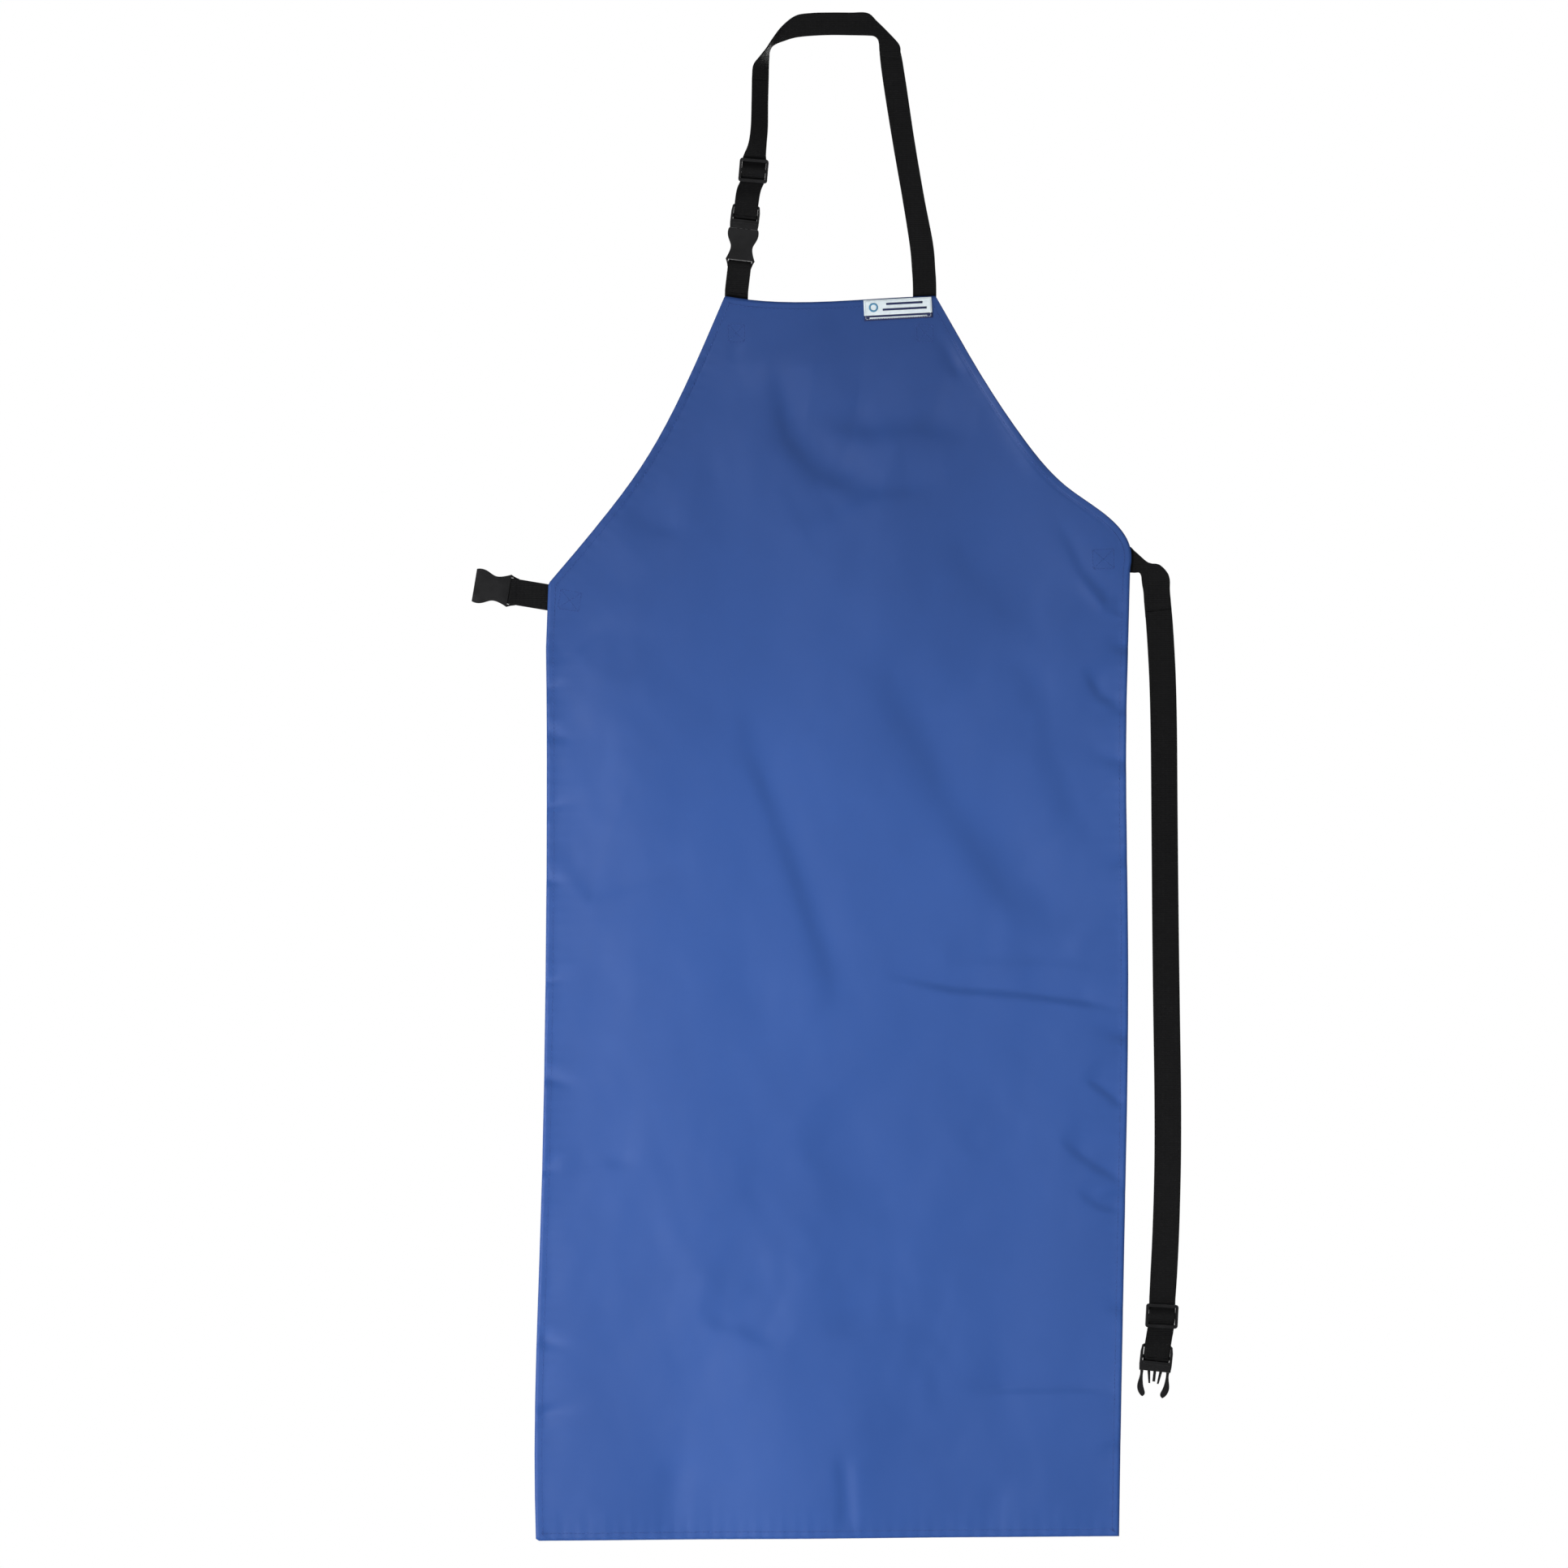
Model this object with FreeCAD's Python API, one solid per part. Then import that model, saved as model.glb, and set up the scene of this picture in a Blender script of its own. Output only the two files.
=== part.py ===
import FreeCAD, Part
import math
import os

# Bib apron with a webbing neck loop, waist straps and side-release buckles.
# Millimetres. Seen from the front, +X is to the right and +Z is up, and the front of the
# apron faces -Y. The origin is the middle of the underside of the neck loop's top band,
# where a neck or a hook carries the whole apron.

# ---- driving dimensions -------------------------------------------------------------

SHELL_T = 1.0            # coated outer fabric
LINING_T = 1.0           # inner fabric
HEM_T = 1.0              # turned hem behind the lining
HEM_W = 8.0
WEB_T = 1.6              # webbing thickness
NECK_WEB_W = 24.5        # neck webbing width
WAIST_WEB_W = 28.0       # waist webbing width
GAP = 0.3                # clearance between pieces of different bodies
SEWN_WEB_W = 27.0        # waist webbing where it is drawn in at a sewn loop
STITCH_W = 0.8           # thread lines of a box-and-cross
STITCH_T = 0.4           # how far that thread stands out behind the webbing

STRAP_BACK_Y = 0.5 * WEB_T
HEM_BACK_Y = -0.5 * WEB_T
LINING_BACK_Y = HEM_BACK_Y - HEM_T
SHELL_BACK_Y = LINING_BACK_Y - LINING_T
FRONT_Y = SHELL_BACK_Y - SHELL_T

BIB_TOP_MID_Z = -276.0   # the top edge dips between its corners
BIB_TOP_DIP_X = (-84.0, 30.0)
BIB_HINGE_Z = -271.0     # where the neck webbing bends at the bib's top edge
FOLD_Z = -640.0          # the lap fold between bib panel and skirt panel
FOLD_GAP = 4.0
HEM_BOTTOM_Z = -1571.0

ARMHOLE_LEFT = [(-111.0, -272.0), (-146.0, -352.0), (-197.0, -448.0), (-239.0, -505.0), (-295.0, -572.0)]
ARMHOLE_RIGHT = [(109.0, -272.0), (155.0, -352.0), (201.0, -421.0), (246.0, -471.0),
                 (291.0, -504.0), (308.0, -524.0), (312.0, -556.0)]
SIDE_LEFT_X = -297.5
SIDE_RIGHT_X = 310.0
SIDE_HEM_TOP_Z = (-576.0, -566.0)    # where each side hem meets its armhole hem
SKIRT_LEFT = [(-297.5, FOLD_Z), (-298.0, -980.0), (-303.0, -1233.0), (-309.5, -1480.0),
              (-308.0, HEM_BOTTOM_Z)]
SKIRT_RIGHT = [(310.0, FOLD_Z), (308.0, -729.0), (310.0, -980.0), (306.5, -1233.0), (300.5, -1566.0)]

NECK_BUCKLE_POS = (-91.2, -202.0)    # mouth of the closed neck buckle
NECK_END_X = (-99.0, 97.5)           # middle of each sewn neck webbing end
NECK_END_Z = -324.0
NECK_LEAN = 6.6                      # degrees the neck hardware leans to the right
NECK_SLIDE_POS = (-81.0, -141.0)
NECK_SLIDE_LEAN = 5.0
NECK_SIZE = 0.92                     # neck hardware against the waist hardware
WAIST_SIZE = 1.03

LABEL_POS = (69.5, -281.6)
LABEL_LEAN = -3.0                    # its right end stands higher
LABEL_W = 71.0
LABEL_T = 0.5
LABEL_Z = (-14.8, -9.4, 6.9)         # foot, top of the dark band, head
LABEL_SEAM = 1.6                     # label edge to its line of thread
LABEL_THREAD = 0.5

WAIST_BUCKLE_POS = (337.8, -1394.0)  # mating face of the hanging male buckle
WAIST_LEAN = 6.0
WAIST_SLIDE_POS = (345.2, -1336.5)
WAIST_SLIDE_LEAN = 3.0
SHORT_STRAP_POS = (-301.0, -585.5)   # where the short waist strap leaves the left side
SHORT_STRAP_RISE = 9.5
SHORT_STRAP_L = 27.0                 # seam to the edge of the female buckle
RIGHT_END_POS = (310.5, -547.5)      # where the sewn end of the long strap leaves the right side
RIGHT_END_LEAN = 2.0

WAIST_EXIT_Z = -570.0                # where the hanging strap bends below its turned tab
# Route of the hanging waist strap, (x, z), from the turned tab down to the slide.
WAIST_ROUTE = [(338.5, -573.5), (343.0, -615.0), (347.0, -690.0), (348.0, -820.0),
               (349.5, -980.0), (352.0, -1140.0), (350.0, -1240.0), (346.2, -1312.0), (345.2, -1322.0)]
WAIST_TOP_END_Z = -600.0             # the part of the run that never shortens

# Buckle, before its size factor
BUCKLE_T = 10.0
CAVITY_T = 6.4
CAVITY_HALF_W = 13.8
FEMALE_L = 47.0
MALE_L = 27.0
BAR_T = 3.0
FEMALE_BAR_Z = (-44.0, -38.0)        # strap bar of the socket half
MALE_BAR_Z = (12.4, 16.0)            # strap bar of the plug half
MALE_WINDOW_HALF_W = 13.7
STRAP_SLOT = 2.4                     # slot beside a bar, just wide enough for webbing
SLIDE_W = 33.0
SLIDE_H = 25.0
SLIDE_T = 3.2
SLIDE_BAR_HALF = 1.8     # half height of its centre bar
SLIDE_WINDOW_H = 7.2
NECK_ARM_X = 10.6        # root of a latched arm from the buckle's middle
WAIST_ARM_X = 13.2       # the same on the open buckle, whose arms spring out


# ---- helpers ------------------------------------------------------------------------

def vec(x, y, z):
    return FreeCAD.Vector(x, y, z)


def curve(points):
    """A smooth edge through (x, z) points in the plane y = 0."""
    spline = Part.BSplineCurve()
    spline.interpolate([vec(x, 0, z) for x, z in points])
    return spline.toShape()


def segment(start, end):
    return Part.makeLine(vec(start[0], 0, start[1]), vec(end[0], 0, end[1]))


def path_edges(points):
    return [segment(a, b) for a, b in zip(points, points[1:])]


def extrude(edges, y_low, y_high):
    """The closed outline in XZ, made into a plate between two y values."""
    face = Part.Face(Part.Wire(Part.__sortEdges__(edges)))
    face.translate(vec(0, y_low, 0))
    return face.extrude(vec(0, y_high - y_low, 0))


def plate(points, y_low, y_high):
    return extrude(path_edges(list(points) + [points[0]]), y_low, y_high)


def block(x_low, x_high, y_low, y_high, z_low, z_high):
    return Part.makeBox(x_high - x_low, y_high - y_low, z_high - z_low, vec(x_low, y_low, z_low))


def mirror_x(points):
    return [(-x, z) for x, z in reversed(points)]


def place(shape, pos, lean):
    """Turn a shape about Y by lean degrees, so its +Z leans to +X, and move its origin to pos."""
    moved = shape.copy()
    moved.rotate(vec(0, 0, 0), vec(0, 1, 0), lean)
    moved.translate(vec(pos[0], 0, pos[1]))
    return moved


def ribbon_side(points, thickness, width):
    """Webbing seen edge-on: a thick line through (y, z) points, as wide as width along X."""
    left = []
    right = []
    for i, (y, z) in enumerate(points):
        before = points[max(i - 1, 0)]
        after = points[min(i + 1, len(points) - 1)]
        a = _unit(before, (y, z))
        b = _unit((y, z), after)
        if a is None:
            a = b
        if b is None:
            b = a
        normal = (-(a[1] + b[1]), a[0] + b[0])
        size = math.hypot(normal[0], normal[1])
        normal = (normal[0] / size, normal[1] / size)
        stretch = 0.5 * thickness / (normal[0] * -a[1] + normal[1] * a[0])
        left.append((y + normal[0] * stretch, z + normal[1] * stretch))
        right.append((y - normal[0] * stretch, z - normal[1] * stretch))
    ring = left + right[::-1]
    corners = [vec(-0.5 * width, y, z) for y, z in ring]
    face = Part.Face(Part.makePolygon(corners + [corners[0]]))
    return face.extrude(vec(width, 0, 0))


def _unit(start, end):
    dy = end[0] - start[0]
    dz = end[1] - start[1]
    size = math.hypot(dy, dz)
    if size < 1e-9:
        return None
    return (dy / size, dz / size)


def stitch_box(centre, width, height, y_low, y_high, lean=0.0):
    """A sewn box with a cross in it, as thin raised lines of thread."""
    half_w = 0.5 * width
    half_h = 0.5 * height
    corners = [(-half_w, -half_h), (half_w, -half_h), (half_w, half_h), (-half_w, half_h)]
    strokes = list(zip(corners, corners[1:] + corners[:1]))
    strokes += [(corners[0], corners[2]), (corners[1], corners[3])]
    lines = [bar_between(start, end, STITCH_W, y_low, y_high) for start, end in strokes]
    return place(lines[0].fuse(lines[1:]).removeSplitter(), centre, lean)


def bar_between(start, end, line, y_low, y_high):
    """A thin flat bar of width line between two (x, z) points."""
    dx = end[0] - start[0]
    dz = end[1] - start[1]
    size = math.hypot(dx, dz)
    nx = -0.5 * line * dz / size
    nz = 0.5 * line * dx / size
    points = [(start[0] + nx, start[1] + nz), (end[0] + nx, end[1] + nz),
              (end[0] - nx, end[1] - nz), (start[0] - nx, start[1] - nz)]
    return plate(points, y_low, y_high)


# ---- fabric panel -------------------------------------------------------------------

def bib_top():
    """Points of the bib's top edge, left to right."""
    dip = [(x, BIB_TOP_MID_Z) for x in BIB_TOP_DIP_X]
    return [ARMHOLE_LEFT[0]] + dip + [ARMHOLE_RIGHT[0]]


def bib_edges():
    """Outline of the bib panel down to the lap fold."""
    bottom = FOLD_Z + 0.5 * FOLD_GAP
    return [
        curve(bib_top()),
        curve(ARMHOLE_RIGHT),
        segment(ARMHOLE_RIGHT[-1], (SIDE_RIGHT_X, bottom)),
        segment((SIDE_RIGHT_X, bottom), (SIDE_LEFT_X, bottom)),
        segment((SIDE_LEFT_X, bottom), ARMHOLE_LEFT[-1]),
        curve(ARMHOLE_LEFT),
    ]


def skirt_edges():
    """Outline of the skirt panel below the lap fold."""
    top = FOLD_Z - 0.5 * FOLD_GAP
    left = [(SIDE_LEFT_X, top)] + SKIRT_LEFT[1:]
    right = [(SIDE_RIGHT_X, top)] + SKIRT_RIGHT[1:]
    return [
        segment(left[0], right[0]),
        curve(right),
        segment(right[-1], left[-1]),
        curve(left),
    ]


def inset(points, distance):
    """The same points moved sideways, to the right of the way they run."""
    moved = []
    for i, (x, z) in enumerate(points):
        before = points[max(i - 1, 0)]
        after = points[min(i + 1, len(points) - 1)]
        dx, dz = _unit(before, after)
        moved.append((x + distance * dz, z - distance * dx))
    return moved


def hem_strip(points):
    """A turned edge behind the lining, on the right of the way the points run."""
    inner = inset(points, HEM_W)
    edges = [segment(points[0], inner[0]), segment(points[-1], inner[-1])]
    for line in (points, inner):
        edges.append(curve(line) if len(line) > 2 else segment(line[0], line[1]))
    return extrude(edges, LINING_BACK_Y, HEM_BACK_Y)


def make_panels(nodes):
    nodes["bib_shell"] = extrude(bib_edges(), FRONT_Y, SHELL_BACK_Y)
    nodes["bib_lining"] = extrude(bib_edges(), SHELL_BACK_Y, LINING_BACK_Y)
    nodes["skirt_shell"] = extrude(skirt_edges(), FRONT_Y, SHELL_BACK_Y)
    nodes["skirt_lining"] = extrude(skirt_edges(), SHELL_BACK_Y, LINING_BACK_Y)
    panel = extrude(bib_edges(), LINING_BACK_Y, HEM_BACK_Y)
    top = hem_strip(bib_top()).common(panel)
    left = hem_strip(ARMHOLE_LEFT[::-1]).common(panel).cut(top)
    right = hem_strip(ARMHOLE_RIGHT).common(panel).cut(top)
    side_low = FOLD_Z + FOLD_GAP
    side_left = hem_strip([(SIDE_LEFT_X, side_low), (SIDE_LEFT_X, SIDE_HEM_TOP_Z[0])])
    side_left = side_left.common(panel).cut(left)
    side_right = hem_strip([(SIDE_RIGHT_X, SIDE_HEM_TOP_Z[1]), (SIDE_RIGHT_X, side_low)])
    side_right = side_right.common(panel).cut(right)
    nodes["bib_top_hem"] = top
    nodes["armhole_hems"] = Part.makeCompound(left.Solids + right.Solids)
    nodes["bib_side_hems"] = Part.makeCompound(side_left.Solids + side_right.Solids)
    bottom = hem_strip([SKIRT_RIGHT[-1], SKIRT_LEFT[-1]])
    side_top = FOLD_Z - FOLD_GAP
    left = hem_strip(([(SIDE_LEFT_X, side_top)] + SKIRT_LEFT[1:])[::-1]).cut(bottom)
    right = hem_strip([(SIDE_RIGHT_X, side_top)] + SKIRT_RIGHT[1:]).cut(bottom)
    nodes["skirt_bottom_hem"] = bottom
    nodes["skirt_side_hems"] = Part.makeCompound(left.Solids + right.Solids)


def make_label(nodes):
    """Blank woven label with a dark lower band, sewn at the top right of the bib."""
    foot, seam, head = LABEL_Z
    half_w = 0.5 * LABEL_W
    for name, low, high in (("label_patch", seam, head), ("label_band", foot, seam)):
        flat = block(-half_w, half_w, FRONT_Y - LABEL_T, FRONT_Y, low, high)
        nodes[name] = place(flat, LABEL_POS, LABEL_LEAN)
    x = half_w - LABEL_SEAM
    low = foot + LABEL_SEAM
    high = head - LABEL_SEAM
    ring = [(-x, low), (x, low), (x, high), (-x, high)]
    lines = []
    for start, end in zip(ring, ring[1:] + ring[:1]):
        lines.append(bar_between(start, end, LABEL_THREAD, FRONT_Y - LABEL_T - 0.2, FRONT_Y - LABEL_T))
    nodes["label_stitching"] = place(lines[0].fuse(lines[1:]).removeSplitter(), LABEL_POS, LABEL_LEAN)


# ---- buckles and slides ------------------------------------------------------------

def crown(length, thickness, z_top):
    """Side view of a moulded part: thick in the middle, thinner at its ends."""
    edge = 0.5 * thickness - 1.2
    mid = 0.5 * thickness
    z_low = z_top - length
    front = Part.Arc(vec(0, -edge, z_low), vec(0, -mid, 0.5 * (z_low + z_top)), vec(0, -edge, z_top))
    back = Part.Arc(vec(0, edge, z_low), vec(0, mid, 0.5 * (z_low + z_top)), vec(0, edge, z_top))
    ends = [Part.makeLine(vec(0, -edge, z), vec(0, edge, z)) for z in (z_low, z_top)]
    face = Part.Face(Part.Wire(Part.__sortEdges__([front.toShape(), back.toShape()] + ends)))
    face.translate(vec(-40, 0, 0))
    return face.extrude(vec(80, 0, 0))


def female_buckle():
    """Socket half. Origin at its mouth, strap end towards -Z."""
    side = [(16.6, 0.0), (17.6, -5.0), (16.4, -11.0), (12.6, -20.0), (13.6, -28.0), (16.6, -35.5)]
    tail = [(16.6, -35.5), (14.2, -41.5), (13.2, -FEMALE_L)]
    edges = [curve(side), curve(tail), curve(mirror_x(side)), curve(mirror_x(tail))]
    edges.append(segment((16.6, 0.0), (-16.6, 0.0)))
    edges.append(segment((13.2, -FEMALE_L), (-13.2, -FEMALE_L)))
    body = extrude(edges, -0.5 * BUCKLE_T, 0.5 * BUCKLE_T)
    body = body.common(crown(FEMALE_L, BUCKLE_T, 0.0))
    half_t = 0.5 * CAVITY_T
    mouth = block(-CAVITY_HALF_W, CAVITY_HALF_W, -half_t, half_t, -11.5, 1.0)
    windows = block(-30, 30, -half_t, half_t, -30.0, -11.5)
    bar_low, bar_high = FEMALE_BAR_Z
    strap_slot = block(-13.6, 13.6, -10, 10, bar_high, bar_high + STRAP_SLOT)
    strap_gap = block(-30, 30, -10, 10, -FEMALE_L - 1, bar_low)
    rear_relief = block(-30, 30, 0.5 * BAR_T, 10, -FEMALE_L - 1, bar_high)
    front_relief = block(-30, 30, -10, -0.5 * BAR_T, -FEMALE_L - 1, bar_high)
    return body.cut([mouth, windows, strap_slot, strap_gap, rear_relief, front_relief])


def male_frame():
    """Plug half without its spring arms. Origin at its mating face, strap end towards +Z."""
    outline = [(-15.8, 0.0), (-16.4, 6.0), (-16.4, 19.0), (-15.4, 25.5), (-13.6, MALE_L)]
    edges = path_edges(outline) + path_edges(mirror_x(outline))
    edges.append(segment((-15.8, 0.0), (15.8, 0.0)))
    edges.append(segment((-13.6, MALE_L), (13.6, MALE_L)))
    body = extrude(edges, -0.5 * BUCKLE_T, 0.5 * BUCKLE_T).common(crown(MALE_L, BUCKLE_T, MALE_L))
    bar_low, bar_high = MALE_BAR_Z
    top_bar = MALE_L - 3.4
    half_w = MALE_WINDOW_HALF_W
    window = block(-half_w, half_w, -10, 10, bar_low - STRAP_SLOT, top_bar)
    rear_clear = block(-half_w, half_w, 0.5 * BAR_T, 10, top_bar - 0.6, MALE_L + 1)
    front_clear = block(-half_w, half_w, -10, -0.5 * BAR_T, top_bar - 0.6, MALE_L + 1)
    body = body.cut([window, rear_clear, front_clear])
    bar = block(-15.0, 15.0, -0.5 * BAR_T, 0.5 * BAR_T, bar_low, bar_high)
    pins = [guide_pin(side) for side in (-1, 1)]
    middle_pin = block(-1.4, 1.4, -1.8, 1.8, -10.5, 0.5)
    return body.fuse([bar, front_lip(), middle_pin] + pins).removeSplitter()


def front_lip():
    """The rounded lip across the plug's front, below its strap slot."""
    return Part.makeCylinder(1.3, 30.0, vec(-15.0, -0.5 * BUCKLE_T + 1.1, 6.7), vec(1, 0, 0))


def guide_pin(side):
    points = [(side * 7.6, 0.5), (side * 4.6, 0.5), (side * 3.4, -12.5), (side * 5.2, -12.5)]
    return plate(points, -1.8, 1.8)


def latch_arm(side, root_x, bow_x):
    """One sprung arm of the plug: a slim leg that ends in a hooked pad."""
    outer = [(root_x + 1.6, -GAP), (bow_x + 1.4, -9.0), (bow_x + 2.4, -16.5),
             (bow_x + 0.6, -22.5), (bow_x - 3.6, -26.5)]
    inner = [(bow_x - 3.6, -26.5), (bow_x - 6.0, -23.2), (bow_x - 4.4, -18.0),
             (bow_x - 2.6, -10.5), (root_x - 1.6, -GAP)]
    edges = [curve([(side * x, z) for x, z in outer])]
    edges.append(curve([(side * x, z) for x, z in inner]))
    edges.append(segment((side * (root_x - 1.6), -GAP), (side * (root_x + 1.6), -GAP)))
    return extrude(edges, -2.7, 2.7)


def tri_glide(width, webbing):
    """Three-bar slide for webbing of that width. Origin at its centre bar."""
    half_t = 0.5 * SLIDE_T
    outer = block(-0.5 * width, 0.5 * width, -half_t, half_t, -0.5 * SLIDE_H, 0.5 * SLIDE_H)
    upright = [e for e in outer.Edges if abs(e.Vertexes[0].X - e.Vertexes[1].X) < 1e-6
               and abs(e.Vertexes[0].Z - e.Vertexes[1].Z) < 1e-6]
    outer = outer.makeFillet(3.0, upright)
    rims = [e for e in outer.Edges if abs(e.BoundBox.YMax - e.BoundBox.YMin) < 1e-6]
    outer = outer.makeFillet(0.9, rims)
    half_w = 0.5 * webbing + GAP
    far = SLIDE_BAR_HALF + SLIDE_WINDOW_H
    upper = block(-half_w, half_w, -SLIDE_T, SLIDE_T, SLIDE_BAR_HALF, far)
    lower = block(-half_w, half_w, -SLIDE_T, SLIDE_T, -far, -SLIDE_BAR_HALF)
    return outer.cut([upper, lower])


def scaled(shape, factor):
    grown = shape.copy()
    grown.scale(factor)
    return grown


# ---- webbing in the hardware --------------------------------------------------------

def doubled_run(bar_z, bar_half, slide_z, width, top_z):
    """Webbing that loops round the plug's bar: two layers from the bar up to the slide."""
    front = -(bar_half + GAP + 0.5 * WEB_T)
    back = -front
    low = bar_z - GAP - 0.5 * WEB_T
    points = [(front + 0.6, top_z), (front, slide_z), (front, low),
              (back, low), (back, slide_z), (back - 0.6, top_z)]
    return ribbon_side(points, WEB_T, width)


def end_loop(width):
    """The webbing end sewn round the slide's centre bar. Origin at the slide's centre."""
    front = -(0.5 * SLIDE_T + GAP + 0.5 * WEB_T)
    back = -front
    reach = SLIDE_BAR_HALF + GAP + 0.5 * WEB_T
    points = [(back, -16.0), (back, -8.2), (front, -2.6), (front, reach), (back, reach), (back, -1.2)]
    return ribbon_side(points, WEB_T, width)


def make_neck_loop(nodes):
    y0 = -0.5 * WEB_T
    y1 = 0.5 * WEB_T
    half = 0.5 * NECK_WEB_W
    band_top = curve([(-66.5, -13.0), (-55.0, 4.0), (-38.0, 20.5), (-20.0, 24.0), (38.0, 24.0)])
    band_low = curve([(-64.0, -12.2), (-45.0, -4.0), (-20.0, -0.2), (0.0, 0.0)])
    edges = [band_top, band_low, segment((-66.5, -13.0), (-64.0, -12.2))]
    edges += path_edges([(38.0, 24.0), (44.0, 22.6), (49.0, -2.0), (44.0, 0.0), (0.0, 0.0)])
    nodes["neck_band"] = extrude(edges, y0, y1)
    corner = [(44.4, 22.4), (71.0, -9.0), (72.6, -18.0), (50.0, -16.0), (49.4, -2.2)]
    nodes["neck_corner_fold"] = plate(corner, y0, y1)
    leg = [(50.3, -16.4), (72.7, -18.4), (94.5 + half, -218.0), (97.5 + half, BIB_HINGE_Z + 1.5),
           (97.5 - half, BIB_HINGE_Z + 1.5), (94.5 - half, -221.0)]
    nodes["neck_leg_right"] = plate(leg, y0, y1)
    fold = [(-82.0, -31.0), (-67.0, -13.4), (-64.4, -12.8), (-65.0, -46.0), (-82.6, -46.0)]
    nodes["neck_turn_left"] = plate(fold, y0, y1)
    leg = [(-82.6, -46.3), (-65.0, -46.3), (-66.5, -120.0), (-69.5, -125.5),
           (-89.5, -125.5), (-84.0, -118.0)]
    nodes["neck_leg_left"] = plate(leg, y0, y1)


def make_neck_hardware(nodes):
    size = NECK_SIZE
    nodes["neck_female_buckle"] = place(scaled(female_buckle(), size), NECK_BUCKLE_POS, NECK_LEAN)
    nodes["neck_male_buckle"] = place(lifted(scaled(male_frame(), size), GAP), NECK_BUCKLE_POS, NECK_LEAN)
    for side, name in ((-1, "neck_latch_arm_left"), (1, "neck_latch_arm_right")):
        arm = scaled(latch_arm(side, NECK_ARM_X, NECK_ARM_X + 0.3), size)
        nodes[name] = place(lifted(arm, GAP), NECK_BUCKLE_POS, NECK_LEAN)
    width = NECK_WEB_W
    slide = tri_glide(SLIDE_W * size, width)
    nodes["neck_tri_glide"] = place(slide, NECK_SLIDE_POS, NECK_SLIDE_LEAN)
    nodes["neck_end_loop"] = place(end_loop(width), NECK_SLIDE_POS, NECK_SLIDE_LEAN)
    run = doubled_run(MALE_BAR_Z[0] * size + GAP, 0.5 * BAR_T * size, 27.0, width, 44.0)
    nodes["neck_strap_doubled"] = place(run, NECK_BUCKLE_POS, NECK_LEAN)
    strap = bar_loop(size, width, -66.2)
    nodes["neck_short_strap"] = place(strap, NECK_BUCKLE_POS, NECK_LEAN)


def bar_loop(size, width, far_z):
    """Webbing looped round the socket's bar, its two layers closing up towards far_z."""
    bar_low, bar_high = (z * size for z in FEMALE_BAR_Z)
    loop_y = 0.5 * BAR_T * size + GAP + 0.5 * WEB_T
    top = bar_high + GAP + 0.5 * WEB_T
    closed_y = 0.5 * WEB_T + 0.1
    closed_z = bar_low - 9.0
    points = [(-closed_y, far_z), (-closed_y, closed_z), (-loop_y, bar_low), (-loop_y, top),
              (loop_y, top), (loop_y, bar_low), (closed_y, closed_z), (closed_y, far_z)]
    return ribbon_side(points, WEB_T, width)


def lifted(shape, distance):
    moved = shape.copy()
    moved.translate(vec(0, 0, distance))
    return moved


def make_sewn_ends(nodes):
    """Webbing ends sewn behind the apron, with box-and-cross stitching through everything."""
    half = 0.5 * NECK_WEB_W
    neck_ends = []
    for x in NECK_END_X:
        neck_ends.append(block(x - half, x + half, HEM_BACK_Y, STRAP_BACK_Y, NECK_END_Z, BIB_HINGE_Z - 1.0))
    nodes["neck_strap_ends"] = Part.makeCompound(neck_ends)
    half = 0.5 * WAIST_WEB_W
    left_end = block(1.0, 48.0, HEM_BACK_Y, STRAP_BACK_Y, -half, half)
    nodes["waist_left_end"] = place(left_end, SHORT_STRAP_POS, SHORT_STRAP_RISE)
    right_end = block(-50.0, 0.0, HEM_BACK_Y, STRAP_BACK_Y, -half, half)
    nodes["waist_right_end"] = place(right_end, RIGHT_END_POS, -RIGHT_END_LEAN)
    neck_boxes = []
    waist_boxes = []
    for y_low, y_high in ((STRAP_BACK_Y, STRAP_BACK_Y + STITCH_T), (FRONT_Y - GAP, FRONT_Y)):
        for x in NECK_END_X:
            neck_boxes.append(stitch_box((x, NECK_END_Z + 13.0), 17.0, 18.0, y_low, y_high))
        left_box = stitch_box((-273.0, -590.0), 22.0, 20.0, y_low, y_high, SHORT_STRAP_RISE)
        right_box = stitch_box((284.0, -546.6), 22.0, 20.0, y_low, y_high, -RIGHT_END_LEAN)
        waist_boxes += [left_box, right_box]
    nodes["neck_end_stitching"] = Part.makeCompound(neck_boxes)
    nodes["waist_end_stitching"] = Part.makeCompound(waist_boxes)


def make_waist_left(nodes):
    """Short strap and socket half at the left side, both pointing away from the apron."""
    size = WAIST_SIZE
    lean = -90.0 + SHORT_STRAP_RISE
    mouth = SHORT_STRAP_L - FEMALE_BAR_Z[0] * size
    mouth_pos = along(SHORT_STRAP_POS, lean, mouth)
    nodes["waist_female_buckle"] = place(scaled(female_buckle(), size), mouth_pos, lean)
    strap = bar_loop(size, SEWN_WEB_W, 1.5 - mouth)
    nodes["waist_short_strap"] = place(strap, mouth_pos, lean)


def along(pos, lean, distance):
    angle = math.radians(lean)
    return (pos[0] + distance * math.sin(angle), pos[1] + distance * math.cos(angle))


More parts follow.
